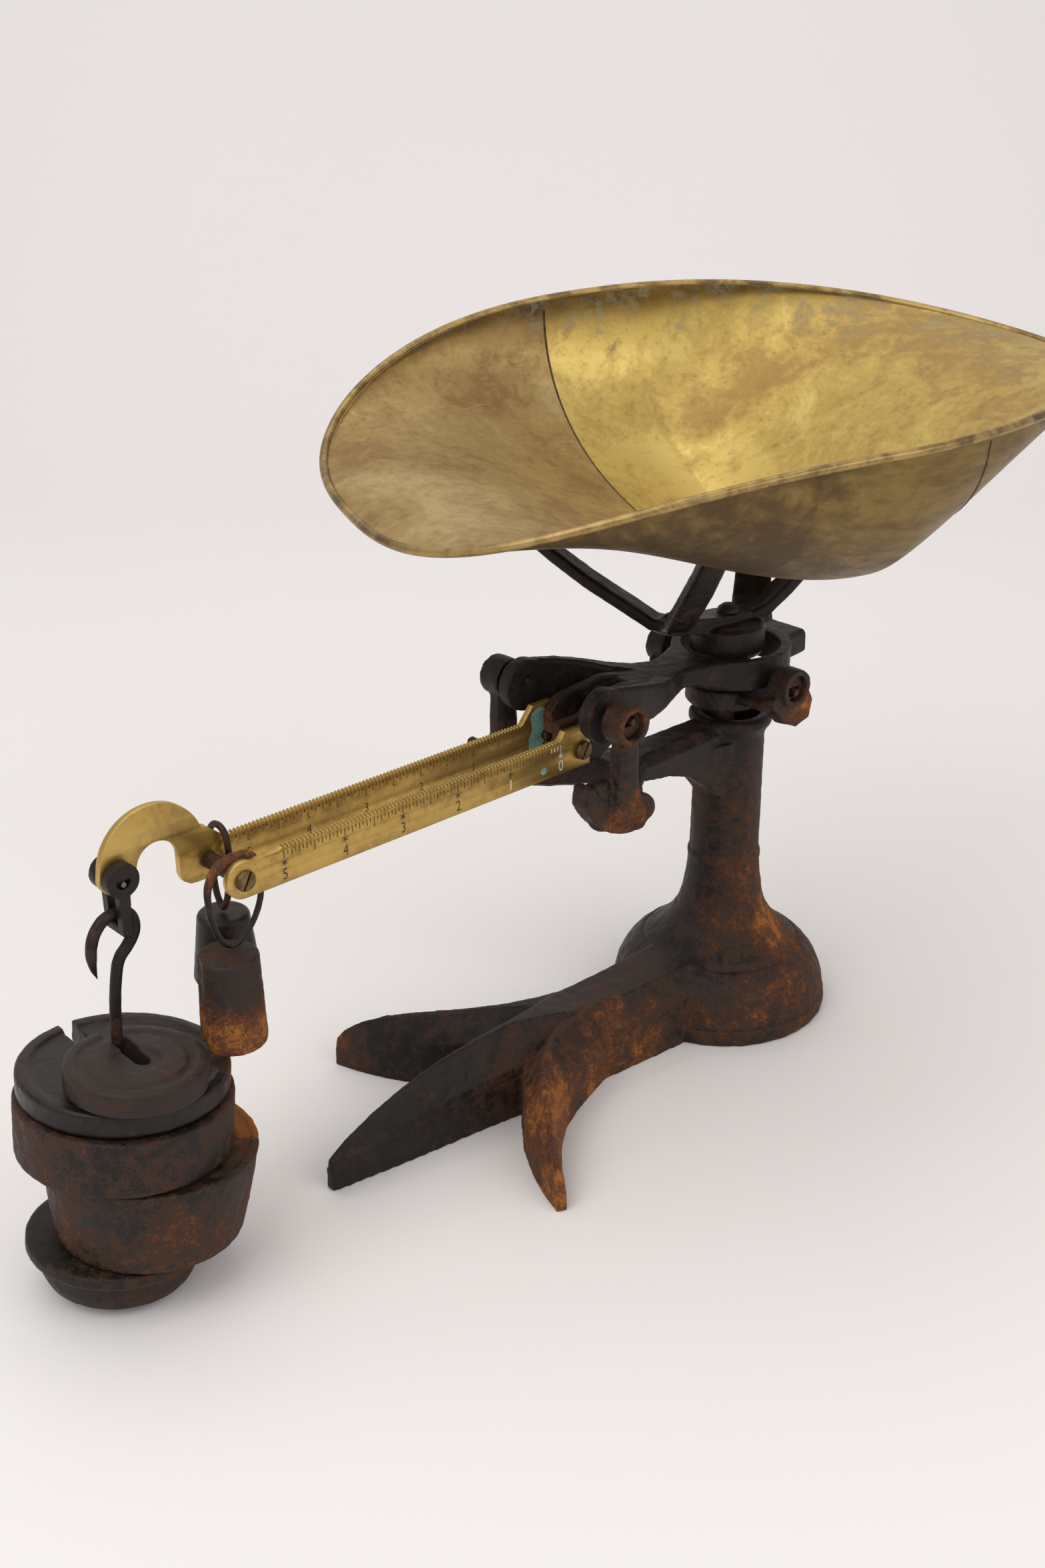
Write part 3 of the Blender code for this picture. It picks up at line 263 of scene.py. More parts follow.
def bar_brass(name, green=()):
    """Olive brass, mottled brown, with verdigris near the given places."""
    look = Look(name)
    big = look.noise(26, 5, 0.6, stretch=(0.6, 1, 1.6))
    small = look.noise(4, 6, 0.7)
    grit = look.noise(0.7, 3, 0.6)
    field = look.total([look.math("MULTIPLY", big, 0.6), look.math("MULTIPLY", small, 0.4)])
    colour = look.mix(look.fade(field, 0.4, 0.58), (0.48, 0.305, 0.075, 1), (0.37, 0.225, 0.055, 1))
    colour = look.mix(look.fade(field, 0.48, 0.66), colour, (0.22, 0.118, 0.032, 1))
    # Painted highlight: the bars' sharp edges are lightened to pale brass, as if they caught the light.
    painted_edge_highlight = look.fade(look.node("NewGeometry", {}, output="Pointiness"), 0.51, 0.56)
    colour = look.mix(look.math("MULTIPLY", painted_edge_highlight, 0.6), colour, (0.66, 0.48, 0.17, 1))
    metallic = 0.92
    roughness = look.fade(field, 0.35, 0.7, 0.36, 0.56)
    if green:
        spots = look.total([look.near(point, radius) for point, radius in green])
        mask = look.fade(look.math("ADD", spots, look.math("MULTIPLY", small, 0.9)), 0.92, 1.12)
        verdigris = look.mix(look.fade(grit, 0.4, 0.62), (0.1, 0.27, 0.24, 1), (0.24, 0.42, 0.38, 1))
        colour = look.mix(mask, colour, verdigris)
        metallic = look.fade(mask, 0, 1, 0.92, 0.0)
        roughness = look.total([roughness, look.math("MULTIPLY", mask, 0.4)])
    normal = look.bump(look.math("ADD", look.math("MULTIPLY", grit, 0.4), small), 0.16, 0.25)
    return look.finish(colour, roughness, metallic, normal)


def scoop_brass(name, light, mid, dark, balance, rim_height, stains=()):
    """Brass sheet under a cloudy brown patina, browner outside, with a pale bloom under the rim."""
    look = Look(name)
    big = look.noise(85, 6, 0.62, distortion=0.6)
    cloud = look.noise(24, 7, 0.7, distortion=0.7)
    small = look.noise(5, 6, 0.7)
    grit = look.noise(0.9, 4, 0.7)
    scratch = look.noise(1.5, 2, 0.5, stretch=(0.07, 1.1, 1.1))
    streak = look.noise(7, 3, 0.6, stretch=(0.18, 1, 1))
    facing = look.node("TexCoord", {}, output="Normal")
    outside = look.fade(look.node("SeparateXYZ", {0: facing}, output="Z"), 0.08, -0.08, 0.0, 1.0)
    parts = [look.math("MULTIPLY", big, 0.95), look.math("MULTIPLY", cloud, 0.65),
             look.math("MULTIPLY", small, 0.3), balance - 0.45]
    parts += [look.along(*stain) if len(stain) == 4 else look.near(*stain) for stain in stains]
    field = look.total(parts)
    colour = look.mix(look.fade(field, 0.36, 0.52), light, mid)
    colour = look.mix(look.fade(field, 0.5, 0.7), colour, dark)
    colour = look.mix(look.fade(field, 0.72, 0.95, 0.0, 0.8), colour, (0.17, 0.1, 0.045, 1))
    speck = look.fade(look.math("MULTIPLY", small, grit), 0.3, 0.4)
    colour = look.mix(look.math("MULTIPLY", speck, 0.45), colour, (0.12, 0.07, 0.03, 1))
    pale = look.math("MULTIPLY", look.fade(scratch, 0.62, 0.74), look.fade(cloud, 0.45, 0.6))
    colour = look.mix(look.math("MULTIPLY", pale, 0.35), colour, (0.66, 0.56, 0.38, 1))
    under = look.mix(look.fade(streak, 0.36, 0.66), (0.21, 0.135, 0.042, 1), (0.12, 0.073, 0.024, 1))
    under = look.mix(look.fade(field, 0.4, 0.66), under, (0.085, 0.052, 0.022, 1))
    colour = look.mix(look.math("MULTIPLY", outside, 0.94), colour, under)
    height = look.node("SeparateXYZ", {0: look.place}, output="Z")
    bloom = look.math("ADD", look.fade(height, rim_height - 0.05, rim_height + 0.005, 0, 0.42),
                      look.math("MULTIPLY", cloud, 0.9))
    bloom = look.math("MULTIPLY", look.fade(bloom, 0.78, 1.0), look.fade(small, 0.4, 0.62))
    colour = look.mix(look.math("MULTIPLY", bloom, 0.55), colour, (0.3, 0.31, 0.23, 1))
    roughness = look.total([look.fade(field, 0.35, 0.7, 0.42, 0.56), look.math("MULTIPLY", bloom, 0.2),
                            look.fade(scratch, 0.5, 0.7, 0.0, 0.06)])
    metallic = look.fade(bloom, 0, 1, 0.72, 0.3)
    normal = look.bump(scratch, 0.05, 0.12)
    normal = look.bump(look.noise(22, 3, 0.5), 0.14, 1.4, normal)
    return look.finish(colour, roughness, metallic, normal)


def plain(name, low, high, roughness, metallic=0.0, size=1.5):
    """Two close colours mixed by fine noise."""
    look = Look(name)
    grain = look.noise(size, 5, 0.65)
    colour = look.mix(look.fade(grain, 0.38, 0.62), low, high)
    return look.finish(colour, look.fade(grain, 0.3, 0.7, roughness - 0.08, roughness + 0.08), metallic,
                       look.bump(grain, 0.2, 0.15))


# ---------------------------------------------------------------- mesh tools


def arc(centre, radius, start, end, count):
    """Points on a circle from start to end degrees."""
    angles = [math.radians(start + (end - start) * i / count) for i in range(count + 1)]
    return [(centre[0] + radius * math.cos(a), centre[1] + radius * math.sin(a)) for a in angles]


def add(name, data):
    thing = bpy.data.objects.new(name, data)
    bpy.context.scene.collection.objects.link(thing)
    return thing


def baked(thing, move=Matrix.Identity(4)):
    """The mesh that thing shows, moved by a matrix, in place of thing."""
    bpy.context.view_layer.update()
    shown = thing.evaluated_get(bpy.context.evaluated_depsgraph_get())
    mesh = bpy.data.meshes.new_from_object(shown)
    mesh.transform(move @ thing.matrix_world)
    name = thing.name
    bpy.data.objects.remove(thing)
    mesh.name = name
    return add(name, mesh)


def tidy(thing, merge=1e-6):
    shape = bmesh.new()
    shape.from_mesh(thing.data)
    bmesh.ops.remove_doubles(shape, verts=shape.verts, dist=merge)
    bmesh.ops.recalc_face_normals(shape, faces=shape.faces)
    shape.to_mesh(thing.data)
    shape.free()
    return thing


def turned(name, profile, steps=96, centre=(0, 0), move=COLUMN):
    """Solid of revolution from a (radius, height) profile that runs down the outer side."""
    mesh = bpy.data.meshes.new(name)
    points = [(r * MM, 0, z * MM) for r, z in profile]
    mesh.from_pydata(points, [(i, i + 1) for i in range(len(points) - 1)], [])
    thing = add(name, mesh)
    screw = thing.modifiers.new("turn", "SCREW")
    screw.steps = steps
    screw.render_steps = steps
    screw.use_merge_vertices = True
    screw.merge_threshold = 1e-6
    thing = baked(thing, move @ Matrix.Translation((centre[0] * MM, centre[1] * MM, 0)))
    return tidy(thing)


def rounded(profile, radius):
    """A (radius, height) profile whose inner corners are rounded off."""
    points = [profile[0]]
    for i in range(1, len(profile) - 1):
        here = Vector(profile[i])
        back = Vector(profile[i - 1]) - here
        ahead = Vector(profile[i + 1]) - here
        reach = min(radius, back.length * 0.45, ahead.length * 0.45)
        if reach < 0.05:
            points.append(tuple(here))
            continue
        start = here + back.normalized() * reach
        end = here + ahead.normalized() * reach
        for t in (0, 0.25, 0.5, 0.75, 1):
            points.append(tuple(start * (1 - t) ** 2 + here * 2 * t * (1 - t) + end * t * t))
    return points + [profile[-1]]


def plate(name, outlines, low, high, move, bevel=0.0):
    """Outlines in X and Z, the later ones holes, made thick along Y."""
    curve = bpy.data.curves.new(name, "CURVE")
    curve.dimensions = "2D"
    curve.fill_mode = "BOTH"
    curve.extrude = (high - low) / 2 * MM - bevel * MM
    curve.bevel_depth = bevel * MM
    curve.bevel_resolution = 1
    curve.offset = -bevel * MM
    for outline in outlines:
        spline = curve.splines.new("POLY")
        spline.points.add(len(outline) - 1)
        for point, (a, b) in zip(spline.points, outline):
            point.co = (a * MM, b * MM, 0, 1)
        spline.use_cyclic_u = True
    upright = Matrix.Translation((0, (low + high) / 2 * MM, 0)) @ Matrix.Rotation(math.pi / 2, 4, "X")
    return tidy(baked(add(name, curve), move @ upright))


def wire(name, points, radii, move, closed=False, sides=6, steps=12):
    """Round bar through the points, with a radius at each."""
    curve = bpy.data.curves.new(name, "CURVE")
    curve.dimensions = "3D"
    curve.bevel_depth = MM
    curve.bevel_resolution = sides
    curve.use_fill_caps = True
    curve.resolution_u = steps
    spline = curve.splines.new("BEZIER")
    spline.bezier_points.add(len(points) - 1)
    for point, place, radius in zip(spline.bezier_points, points, radii):
        point.co = Vector(place) * MM
        point.radius = radius
        point.handle_left_type = "AUTO"
        point.handle_right_type = "AUTO"
    spline.use_cyclic_u = closed
    return tidy(baked(add(name, curve), move))


def copy_of(name, *nodes):
    """One mesh made of copies of CAD nodes."""
    shape = bmesh.new()
    for node in nodes:
        shape.from_mesh(NODES[node].data)
    mesh = bpy.data.meshes.new(name)
    shape.to_mesh(mesh)
    shape.free()
    return tidy(add(name, mesh))


def merged(thing, *others):
    """Thing with the meshes of others added to it."""
    shape = bmesh.new()
    shape.from_mesh(thing.data)
    for other in others:
        shape.from_mesh(other.data)
        bpy.data.objects.remove(other)
    shape.to_mesh(thing.data)
    shape.free()
    return thing


def cast(thing, voxel, rounds, relief, size):
    """Gives thing the soft corners and uneven skin of a casting, with lengths in millimetres."""
    remesh = thing.modifiers.new("skin", "REMESH")
    remesh.mode = "VOXEL"
    remesh.voxel_size = voxel * MM
    blur = thing.modifiers.new("soft", "SMOOTH")
    blur.iterations = rounds
    blur.factor = 0.5
    texture = bpy.data.textures.new(thing.name, "CLOUDS")
    texture.noise_scale = size * MM
    texture.noise_depth = 3
    swell = thing.modifiers.new("swell", "DISPLACE")
    swell.texture = texture
    swell.strength = relief * MM
    swell.mid_level = 0.75
    swell.texture_coords = "GLOBAL"
    return baked(thing)


def above_floor(thing):
    """Flattens what relief pushes below the floor."""
    for vertex in thing.data.vertices:
        vertex.co.z = max(vertex.co.z, 0.0)
    return thing


def cut(thing, *others):
    """Thing with the shapes of others taken out of it."""
    for other in others:
        step = thing.modifiers.new("cut", "BOOLEAN")
        step.operation = "DIFFERENCE"
        step.solver = "EXACT"
        step.object = other
    made = baked(thing)
    for other in others:
        bpy.data.objects.remove(other)
    return made


def smooth(thing, angle=35):
    thing.data.shade_smooth()
    thing.data.set_sharp_from_angle(angle=math.radians(angle))
    return thing


def dress(thing, look, body, slot, *nodes, angle=35):
    """Gives a piece its material and its body and hides the CAD nodes it stands for; slot is not used."""
    thing.data.materials.clear()
    thing.data.materials.append(look)
    smooth(thing, angle)
    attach(thing, body)
    if nodes:
        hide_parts(*nodes)
    return thing


def paint(look, *nodes, angle=35):
    for node in nodes:
        thing = NODES[node]
        thing.data.materials.clear()
        thing.data.materials.append(look)
        smooth(thing, angle)


# ---------------------------------------------------------------- castings


def at(x, y, z):
    return COLUMN @ (Vector((x, y, z)) * MM)


def on_beam(x, y, z):
    return BEAM @ (Vector((x, y, z)) * MM)


def loft(name, sections):
    """Closed body through sections that hold equally many points each."""
    count = len(sections[0])
    mesh = bpy.data.meshes.new(name)
    last = (len(sections) - 1) * count
    faces = [tuple(range(count)), tuple(reversed(range(last, last + count)))]
    for s in range(len(sections) - 1):
        for i in range(count):
            j = (i + 1) % count
            faces.append((s * count + i, s * count + j, (s + 1) * count + j, (s + 1) * count + i))
    mesh.from_pydata([Vector(p) * MM for section in sections for p in section], [], faces)
    thing = tidy(add(name, mesh))
    thing.data.transform(COLUMN)
    return thing


def lump(name, place, reach):
    """Rounded lump that thickens a casting."""
    mesh = bpy.data.meshes.new(name)
    shape = bmesh.new()
    bmesh.ops.create_icosphere(shape, subdivisions=3, radius=MM)
    shape.to_mesh(mesh)
    shape.free()
    thing = add(name, mesh)
    mesh.transform(COLUMN @ Matrix.Translation(Vector(place) * MM) @ Matrix.Diagonal((*reach, 1)))
    return thing


def dip(apart, width):
    """One in the middle of a groove, falling to nothing a few widths away from it."""
    return math.exp(-(apart / width) ** 2)


def groove(vertex):
    """Presses the crease round the dome and the lines on the foot's wall and the middle toe."""
    place = (COLUMN.inverted() @ vertex.co) / MM
    out = math.hypot(place.x, place.y)
    if place.x > LEG_START_X or abs(place.y) > LEG_HALF_WIDTH:
        apart = math.hypot(out - DOME_CREASE[0], place.z - DOME_CREASE[1])
        vertex.co.z -= 1.5 * MM * dip(apart, 1.5)
        if FOOT_RADIUS - 2.4 < out < FOOT_RADIUS + 1.6 and place.z < 20:
            shrink = 1 - 0.9 / out * dip(place.z - FOOT_LINE_HEIGHT, 0.9)
            place.x *= shrink
            place.y *= shrink
            vertex.co = COLUMN @ (Vector((place.x, place.y, vertex.co.z / MM)) * MM)
    elif place.x < TOE_START_X and abs(place.y) < TOE_HALF_WIDTH:
        line = 23.5 + (place.x + 165) * TOE_LINE_SLOPE
        vertex.co.y -= math.copysign(0.7, place.y) * MM * dip(place.z - line, 1.1)


def make_stand():
    """Foot, column, leg and fork bracket in one skin, as they were cast."""
    stand = copy_of("stand_casting", "pedestal", "leg", "bracket")
    root = loft("root", [[(x, -half, 160), (x, half, 160), (x, half * 0.7, low), (x, -half * 0.7, low)]
                         for x, half, low in ((-13, 15.5, 124), (-19, 13.5, 130), (-26, 12.2, 138))])
    lumps = [lump("lump", place, reach) for place, reach in CRESCENT_LUMPS]
    stand = cast(merged(stand, root, *lumps), 0.85, 3, 0.7, 6)
    for vertex in stand.data.vertices:
        groove(vertex)
    red = iron("stand_iron", -0.03, (
        (at(12, -52, 30), 90, 0.2), (at(8, -28, 46), 24, 0.32), (at(12, -22, 80), 44, 0.16),
        (at(-185, -66, 12), 66, 0.34), (at(-200, -84, 8), 26, 0.2), (at(-150, -36, 18), 56, 0.24),
        (at(-95, -26, 16), 60, 0.24), (at(-125, -42, 158), 34, 0.3), (at(-123, -48, 210), 18, 0.3),
        (at(0, 0, 130), 60, 0.1), (at(-196, 84, 4), 30, 0.3), (at(-235, 0, 20), 60, -0.16)))
    return dress(above_floor(stand), red, "stand", "rusty_iron", "pedestal", "leg", "bracket")


def make_lever():
    lever = cast(copy_of("lever_casting", "lever"), 0.6, 12, 0.45, 5)
    dark = iron("lever_iron", -0.1, (
        (on_beam(-9, -8, -20), 24, 0.32), (on_beam(-2, 8, -20), 24, 0.3), (on_beam(24, 0, -4), 26, 0.12),
        (on_beam(150, 10, -10), 24, 0.1)), gloss=0.52)
    return dress(lever, dark, "beam", "black_iron", "lever")


def make_carrier():
    yoke = cast(copy_of("yoke_casting", "yoke"), 0.6, 9, 0.6, 4.5)
    rusty = iron("yoke_iron", -0.02, ((at(10, -42, 180), 26, 0.34), (at(12, -46, 196), 18, 0.22)))
    dress(yoke, rusty, "carrier", "black_iron", "yoke")
    web = lump("web", (-41, 7.5, 229), (6, 3.8, 3.6))
    spider = cast(merged(copy_of("spider_casting", "spider"), web), 0.7, 7, 0.35, 5)
    dark = iron("spider_iron", -0.08, ((at(-16, 2, 252), 17, 0.5), (at(-20, -14, 230), 20, 0.05)), gloss=0.42)
    dress(spider, dark, "carrier", "black_iron", "spider")


def make_bearings():
    """Bearing rings that sit back inside their bosses."""
    rusty = iron("bearing_iron", 0.12, gloss=0.6, grain=0.8)
    for side, word in ((-1, "front"), (1, "rear")):
        for kind, body in (("fulcrum", "stand"), ("load", "carrier")):
            node = f"{word}_{kind}_bearing"
            low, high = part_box(node)
            ring = copy_of(node + "_ring", node)
            for vertex in ring.data.vertices:
                if abs(vertex.co.y - (low.y if side < 0 else high.y)) < 0.1 * MM:
                    vertex.co.y -= side * BEARING_INSET * MM
            dress(ring, rusty, body, "steel", node)


# ---------------------------------------------------------------- bars


def notched(start, end):
    """Top edge from right to left with a notch at each small division."""
    points = []
    count = round((start - end) / NOTCH_PITCH)
    for i in range(count):
        x = start - (i + 0.5) * NOTCH_PITCH
        points += [(x + 0.72, BAR_TOP), (x + 0.12, NOTCH_BOTTOM), (x - 0.12, NOTCH_BOTTOM),
                   (x - 0.72, BAR_TOP)]
    return points


def screw_hole(place):
    return arc(place, 2.4, 0, 345, 23)


def make_front_bar():
    low, high = FRONT_BAR_Y
    outline = [(BAR_RIGHT, BAR_BOTTOM), (BAR_RIGHT, -9.6), (4.1, -9.3), (-11.8, -9.3), (-15.0, BAR_TOP - 0.4)]
    outline += notched(-15.4, MARK_FIVE - 1)
    outline += [(MARK_FIVE - 2.4, BAR_TOP - 1.1), (-187, BAR_TOP - 1.2)]
    outline += arc((BAR_END_X, -21.5), 8.45, 62, 270, 24)
    return plate("front_bar_brass", [outline, screw_hole(SCREW_POINTS[0]), screw_hole(SCREW_POINTS[1])],
                 low, high, BEAM, 0.22)


def make_rear_bar():
    low, high = REAR_BAR_Y
    outline = [(BAR_RIGHT, BAR_BOTTOM), (BAR_RIGHT, -5.4), (4.1, -5), (-8, -5), (-15.0, BAR_TOP - 0.4)]
    outline += notched(-15.4, -182)
    outline += [(-184.5, BAR_TOP - 0.3), (-190, -9), (-193.5, -5.8)]
    outline += arc((-219.5, -13), 24.9, 17, 172, 40)
    outline += arc((-236.8, -14), 8.2, 185, 345, 20)
    outline += arc((-217.5, -15), 10, 180, 0, 28)
    outline += [(-207.6, -24), (-206.2, -27.5), (-203, -29.6), (-200, BAR_BOTTOM)]
    return plate("rear_bar_brass", [outline, screw_hole(SCREW_POINTS[0]), screw_hole(SCREW_POINTS[1])],
                 low, high, BEAM, 0.22)


def tick(x, top, length, width=0.5):
    left = x - width / 2
    right = x + width / 2
    return [(left, top), (right, top), (right, top - length), (left, top - length)]


def star(x, z, size=2.2):
    points = []
    for i in range(12):
        reach = size if i % 2 == 0 else size * 0.3
        angle = math.radians(90 + 30 * i)
        points.append((x + reach * math.cos(angle), z + reach * math.sin(angle)))
    return points


def oval(x, top, length, width=0.6):
    """Outer and inner outlines of a narrow engraved oval."""
    middle = (x, top - length / 2)
    rings = []
    for half_width, half_length in ((width, length / 2), (width - OVAL_LINE, length / 2 - OVAL_LINE)):
        rings.append([(middle[0] + half_width * math.cos(a), middle[1] + half_length * math.sin(a))
                      for a in (2 * math.pi * i / 16 for i in range(16))])
    return rings


def digit(word, x, z, size, face):
    """A figure standing on the bar's face."""
    curve = bpy.data.curves.new("figure_" + word, "FONT")
    curve.body = word
    curve.size = size * MM
    curve.extrude = INK_RAISE * MM
    curve.align_x = "CENTER"
    curve.align_y = "CENTER"
    place = Matrix.Translation(Vector((x, face, z)) * MM) @ Matrix.Rotation(math.pi / 2, 4, "X")
    return tidy(baked(add("figure_" + word, curve), BEAM @ place @ Matrix.Diagonal((0.82, 1, 1, 1))))


def make_marks(name, face, rows, figures, look):
    """Ticks, stars and figures of one bar as one thin inlay."""
    marks = plate(name, rows, face - INK_RAISE, face + 0.3, BEAM)
    letters = [digit(*figure, face) for figure in figures]
    return dress(merged(marks, *letters), look, "beam", "brass")


def front_marks():
    rows = []
    for i in range(1, LAST_NOTCH + 1):
        x = MARK_FIVE + i * NOTCH_PITCH
        if i % NOTCHES_PER_MARK == 0 or x > FRONT_MARKS_END_X:
            continue
        length = 4.6 if i % 8 == 0 else (3.0 if i % 2 == 0 else 1.9)
        rows.append(tick(x, BAR_TOP - 2.2, length))
    figures = []
    for k in range(1, 6):
        x = MARK_FIVE + (5 - k) * MARK_PITCH
        rows += [tick(x, BAR_TOP - 2.0, 4.4), star(x, -20.4)]
        if k > 1:
            figures.append((str(k), x, -25.9, 7.4))
    return rows, figures


def rear_marks():
    rows = []
    for i in range(-4, LAST_NOTCH + 1):
        x = MARK_FIVE + i * NOTCH_PITCH
        if x > REAR_MARKS_END_X:
            continue
        if i % 8 == 0:
            rows += oval(x, BAR_TOP - 1.6, 4.6)
            rows.append(star(x, -20.2, 1.9))
        elif i % 2 == 0:
            rows += oval(x, BAR_TOP - 1.6, 3.2)
        else:
            rows.append(tick(x, BAR_TOP - 1.8, 1.3, 0.75))
    figures = [(str(k), MARK_FIVE + (5 - k) * MARK_PITCH, -25.2, 6.6) for k in range(1, 6)]
    return rows, figures


def make_bars():
    verdigris = ((on_beam(-4, 12, -12), 9.0), (on_beam(-3, 12, -20), 9.0), (on_beam(-7, 12, -24), 7))
    rear = bar_brass("rear_bar_brass", verdigris)
    front = bar_brass("front_bar_brass", ((on_beam(-25.5, -14, -25.2), 3.0),))
    dress(make_front_bar(), front, "beam", "brass", "front_bar")
    dress(make_rear_bar(), rear, "beam", "brass", "rear_bar")
    ink = plain("engraving", (0.03, 0.018, 0.01, 1), (0.1, 0.055, 0.025, 1), 0.7)
    white = plain("engraving_fill", (0.5, 0.5, 0.42, 1), (0.8, 0.79, 0.72, 1), 0.8)
    rows, figures = front_marks()
    make_marks("front_bar_marks", FRONT_BAR_Y[0], rows, figures, ink)
    mark_one = MARK_FIVE + 4 * MARK_PITCH
    mark_zero = MARK_FIVE + 5 * MARK_PITCH
    filled = [tick(MARK_FIVE + i * NOTCH_PITCH, BAR_TOP - 2.2, 4.2 if i == LAST_NOTCH else 2.3)
              for i in range(LAST_NOTCH - 3, LAST_NOTCH + 1)]
    filled.append(star(mark_zero, -20.4, 1.9))
    figures = [("0", mark_zero, -25.8, 7.6), ("1", mark_one, -25.9, 7.2)]
    make_marks("front_bar_fill", FRONT_BAR_Y[0], filled, figures, white)
    rows, figures = rear_marks()
    make_marks("rear_bar_marks", REAR_BAR_Y[0], rows, figures, ink)


def make_screw(name, place, side, node, look):
    """Slotted cheese-head screw outside its bar."""
    face = FRONT_BAR_Y[0] if side < 0 else REAR_BAR_Y[1]
    profile = rounded([(0, 2.1), (4.3, 2.0), (4.6, 1.4), (4.6, -0.1), (2.1, -0.1), (2.1, -6), (0, -6)], 0.4)
    turn = Matrix.Rotation(math.radians(90 if side < 0 else -90), 4, "X")
    spot = Matrix.Translation(Vector((place[0], face, place[1])) * MM)
    screw = turned(name, profile, 48, move=BEAM @ spot @ turn)
    slot_mesh = bpy.data.meshes.new(name)
    slot_box = add("slot", slot_mesh)
    shape = bmesh.new()
    bmesh.ops.create_cube(shape, size=MM, matrix=Matrix.Diagonal((14, 1.05, 2.4, 1)))
    shape.to_mesh(slot_mesh)
    shape.free()
    tilt = Matrix.Rotation(math.radians(62), 4, "Z")
    slot_mesh.transform(BEAM @ spot @ turn @ Matrix.Translation((0, 0, 2.2 * MM)) @ tilt)
    return dress(cut(screw, slot_box), look, "beam", "brass", node)


# ---------------------------------------------------------------- scoop


def scoop_point(along, around, inset=0.0, sink=0.0):
    """Point of the scoop's wall.

    along is -90 at the blunt end, 0 in the middle and 90 at the narrow end; around
    is -90 at the front rim, 0 at the bottom and 90 at the rear rim, all in degrees.
    """
    length, end_power, side_power, rise, _, _ = SCOOP_BLUNT if along < 0 else SCOOP_NARROW
    angle = math.radians(abs(along))
    reach = math.sin(angle) ** (2 / end_power)
    width = (SCOOP_HALF_WIDTH - inset) * math.cos(angle) ** (2 / side_power)
    turn = math.radians(around)
    across = width * math.copysign(abs(math.sin(turn)) ** (2 / SCOOP_SECTION), turn)
    out = math.copysign((length - inset) * reach, along)
    depth = scoop_depth(out, sink)
    up = rise * reach ** 2.5 - depth * abs(math.cos(turn)) ** (2 / SCOOP_SECTION)
    place = Matrix.Rotation(SCOOP_YAW, 3, "Z") @ Matrix.Rotation(-SCOOP_TILT, 3, "Y")
    place = place @ Matrix.Rotation(SCOOP_ROLL, 3, "X")
    return Vector(SCOOP_CENTRE) + place @ Vector((out, across, up))


def scoop_depth(out, sink):
    """Depth of the bowl below its rim, fading from the deepest point to both ends."""
    length, _, _, _, power, fade = SCOOP_BLUNT if out < SCOOP_DEEPEST else SCOOP_NARROW
    reach = abs(out - SCOOP_DEEPEST) / (length - math.copysign(SCOOP_DEEPEST, out - SCOOP_DEEPEST))
    return (SCOOP_DEPTH + sink) * (1 - min(reach, 1.0) ** power) ** fade


def seam_angle(out):
    """The along angle of a point at the distance out from the scoop's middle."""
    length, end_power = (SCOOP_BLUNT if out < 0 else SCOOP_NARROW)[:2]
    reach = (abs(out) / length) ** (end_power / 2)
    return math.copysign(math.degrees(math.asin(reach)), out)


def make_sheet(name, start, end, rows, look, node, columns=110):
    """One soldered sheet of the scoop, between two along angles."""
    points = []
    for i in range(rows + 1):
        along = start + (end - start) * i / rows
        for j in range(columns + 1):
            points.append(scoop_point(along, -90 + 180 * j / columns, SHEET_INSET) * MM)
    faces = [(i * (columns + 1) + j, i * (columns + 1) + j + 1, (i + 1) * (columns + 1) + j + 1,
              (i + 1) * (columns + 1) + j) for i in range(rows) for j in range(columns)]
    mesh = bpy.data.meshes.new(name)
    mesh.from_pydata(points, [], faces)
    sheet = tidy(add(name, mesh), 5e-6)
    wall = sheet.modifiers.new("wall", "SOLIDIFY")
    wall.thickness = SHEET_THICKNESS * MM
    wall.offset = 0
    return dress(baked(sheet, COLUMN), look, "scoop", "scoop_brass", node, angle=60)


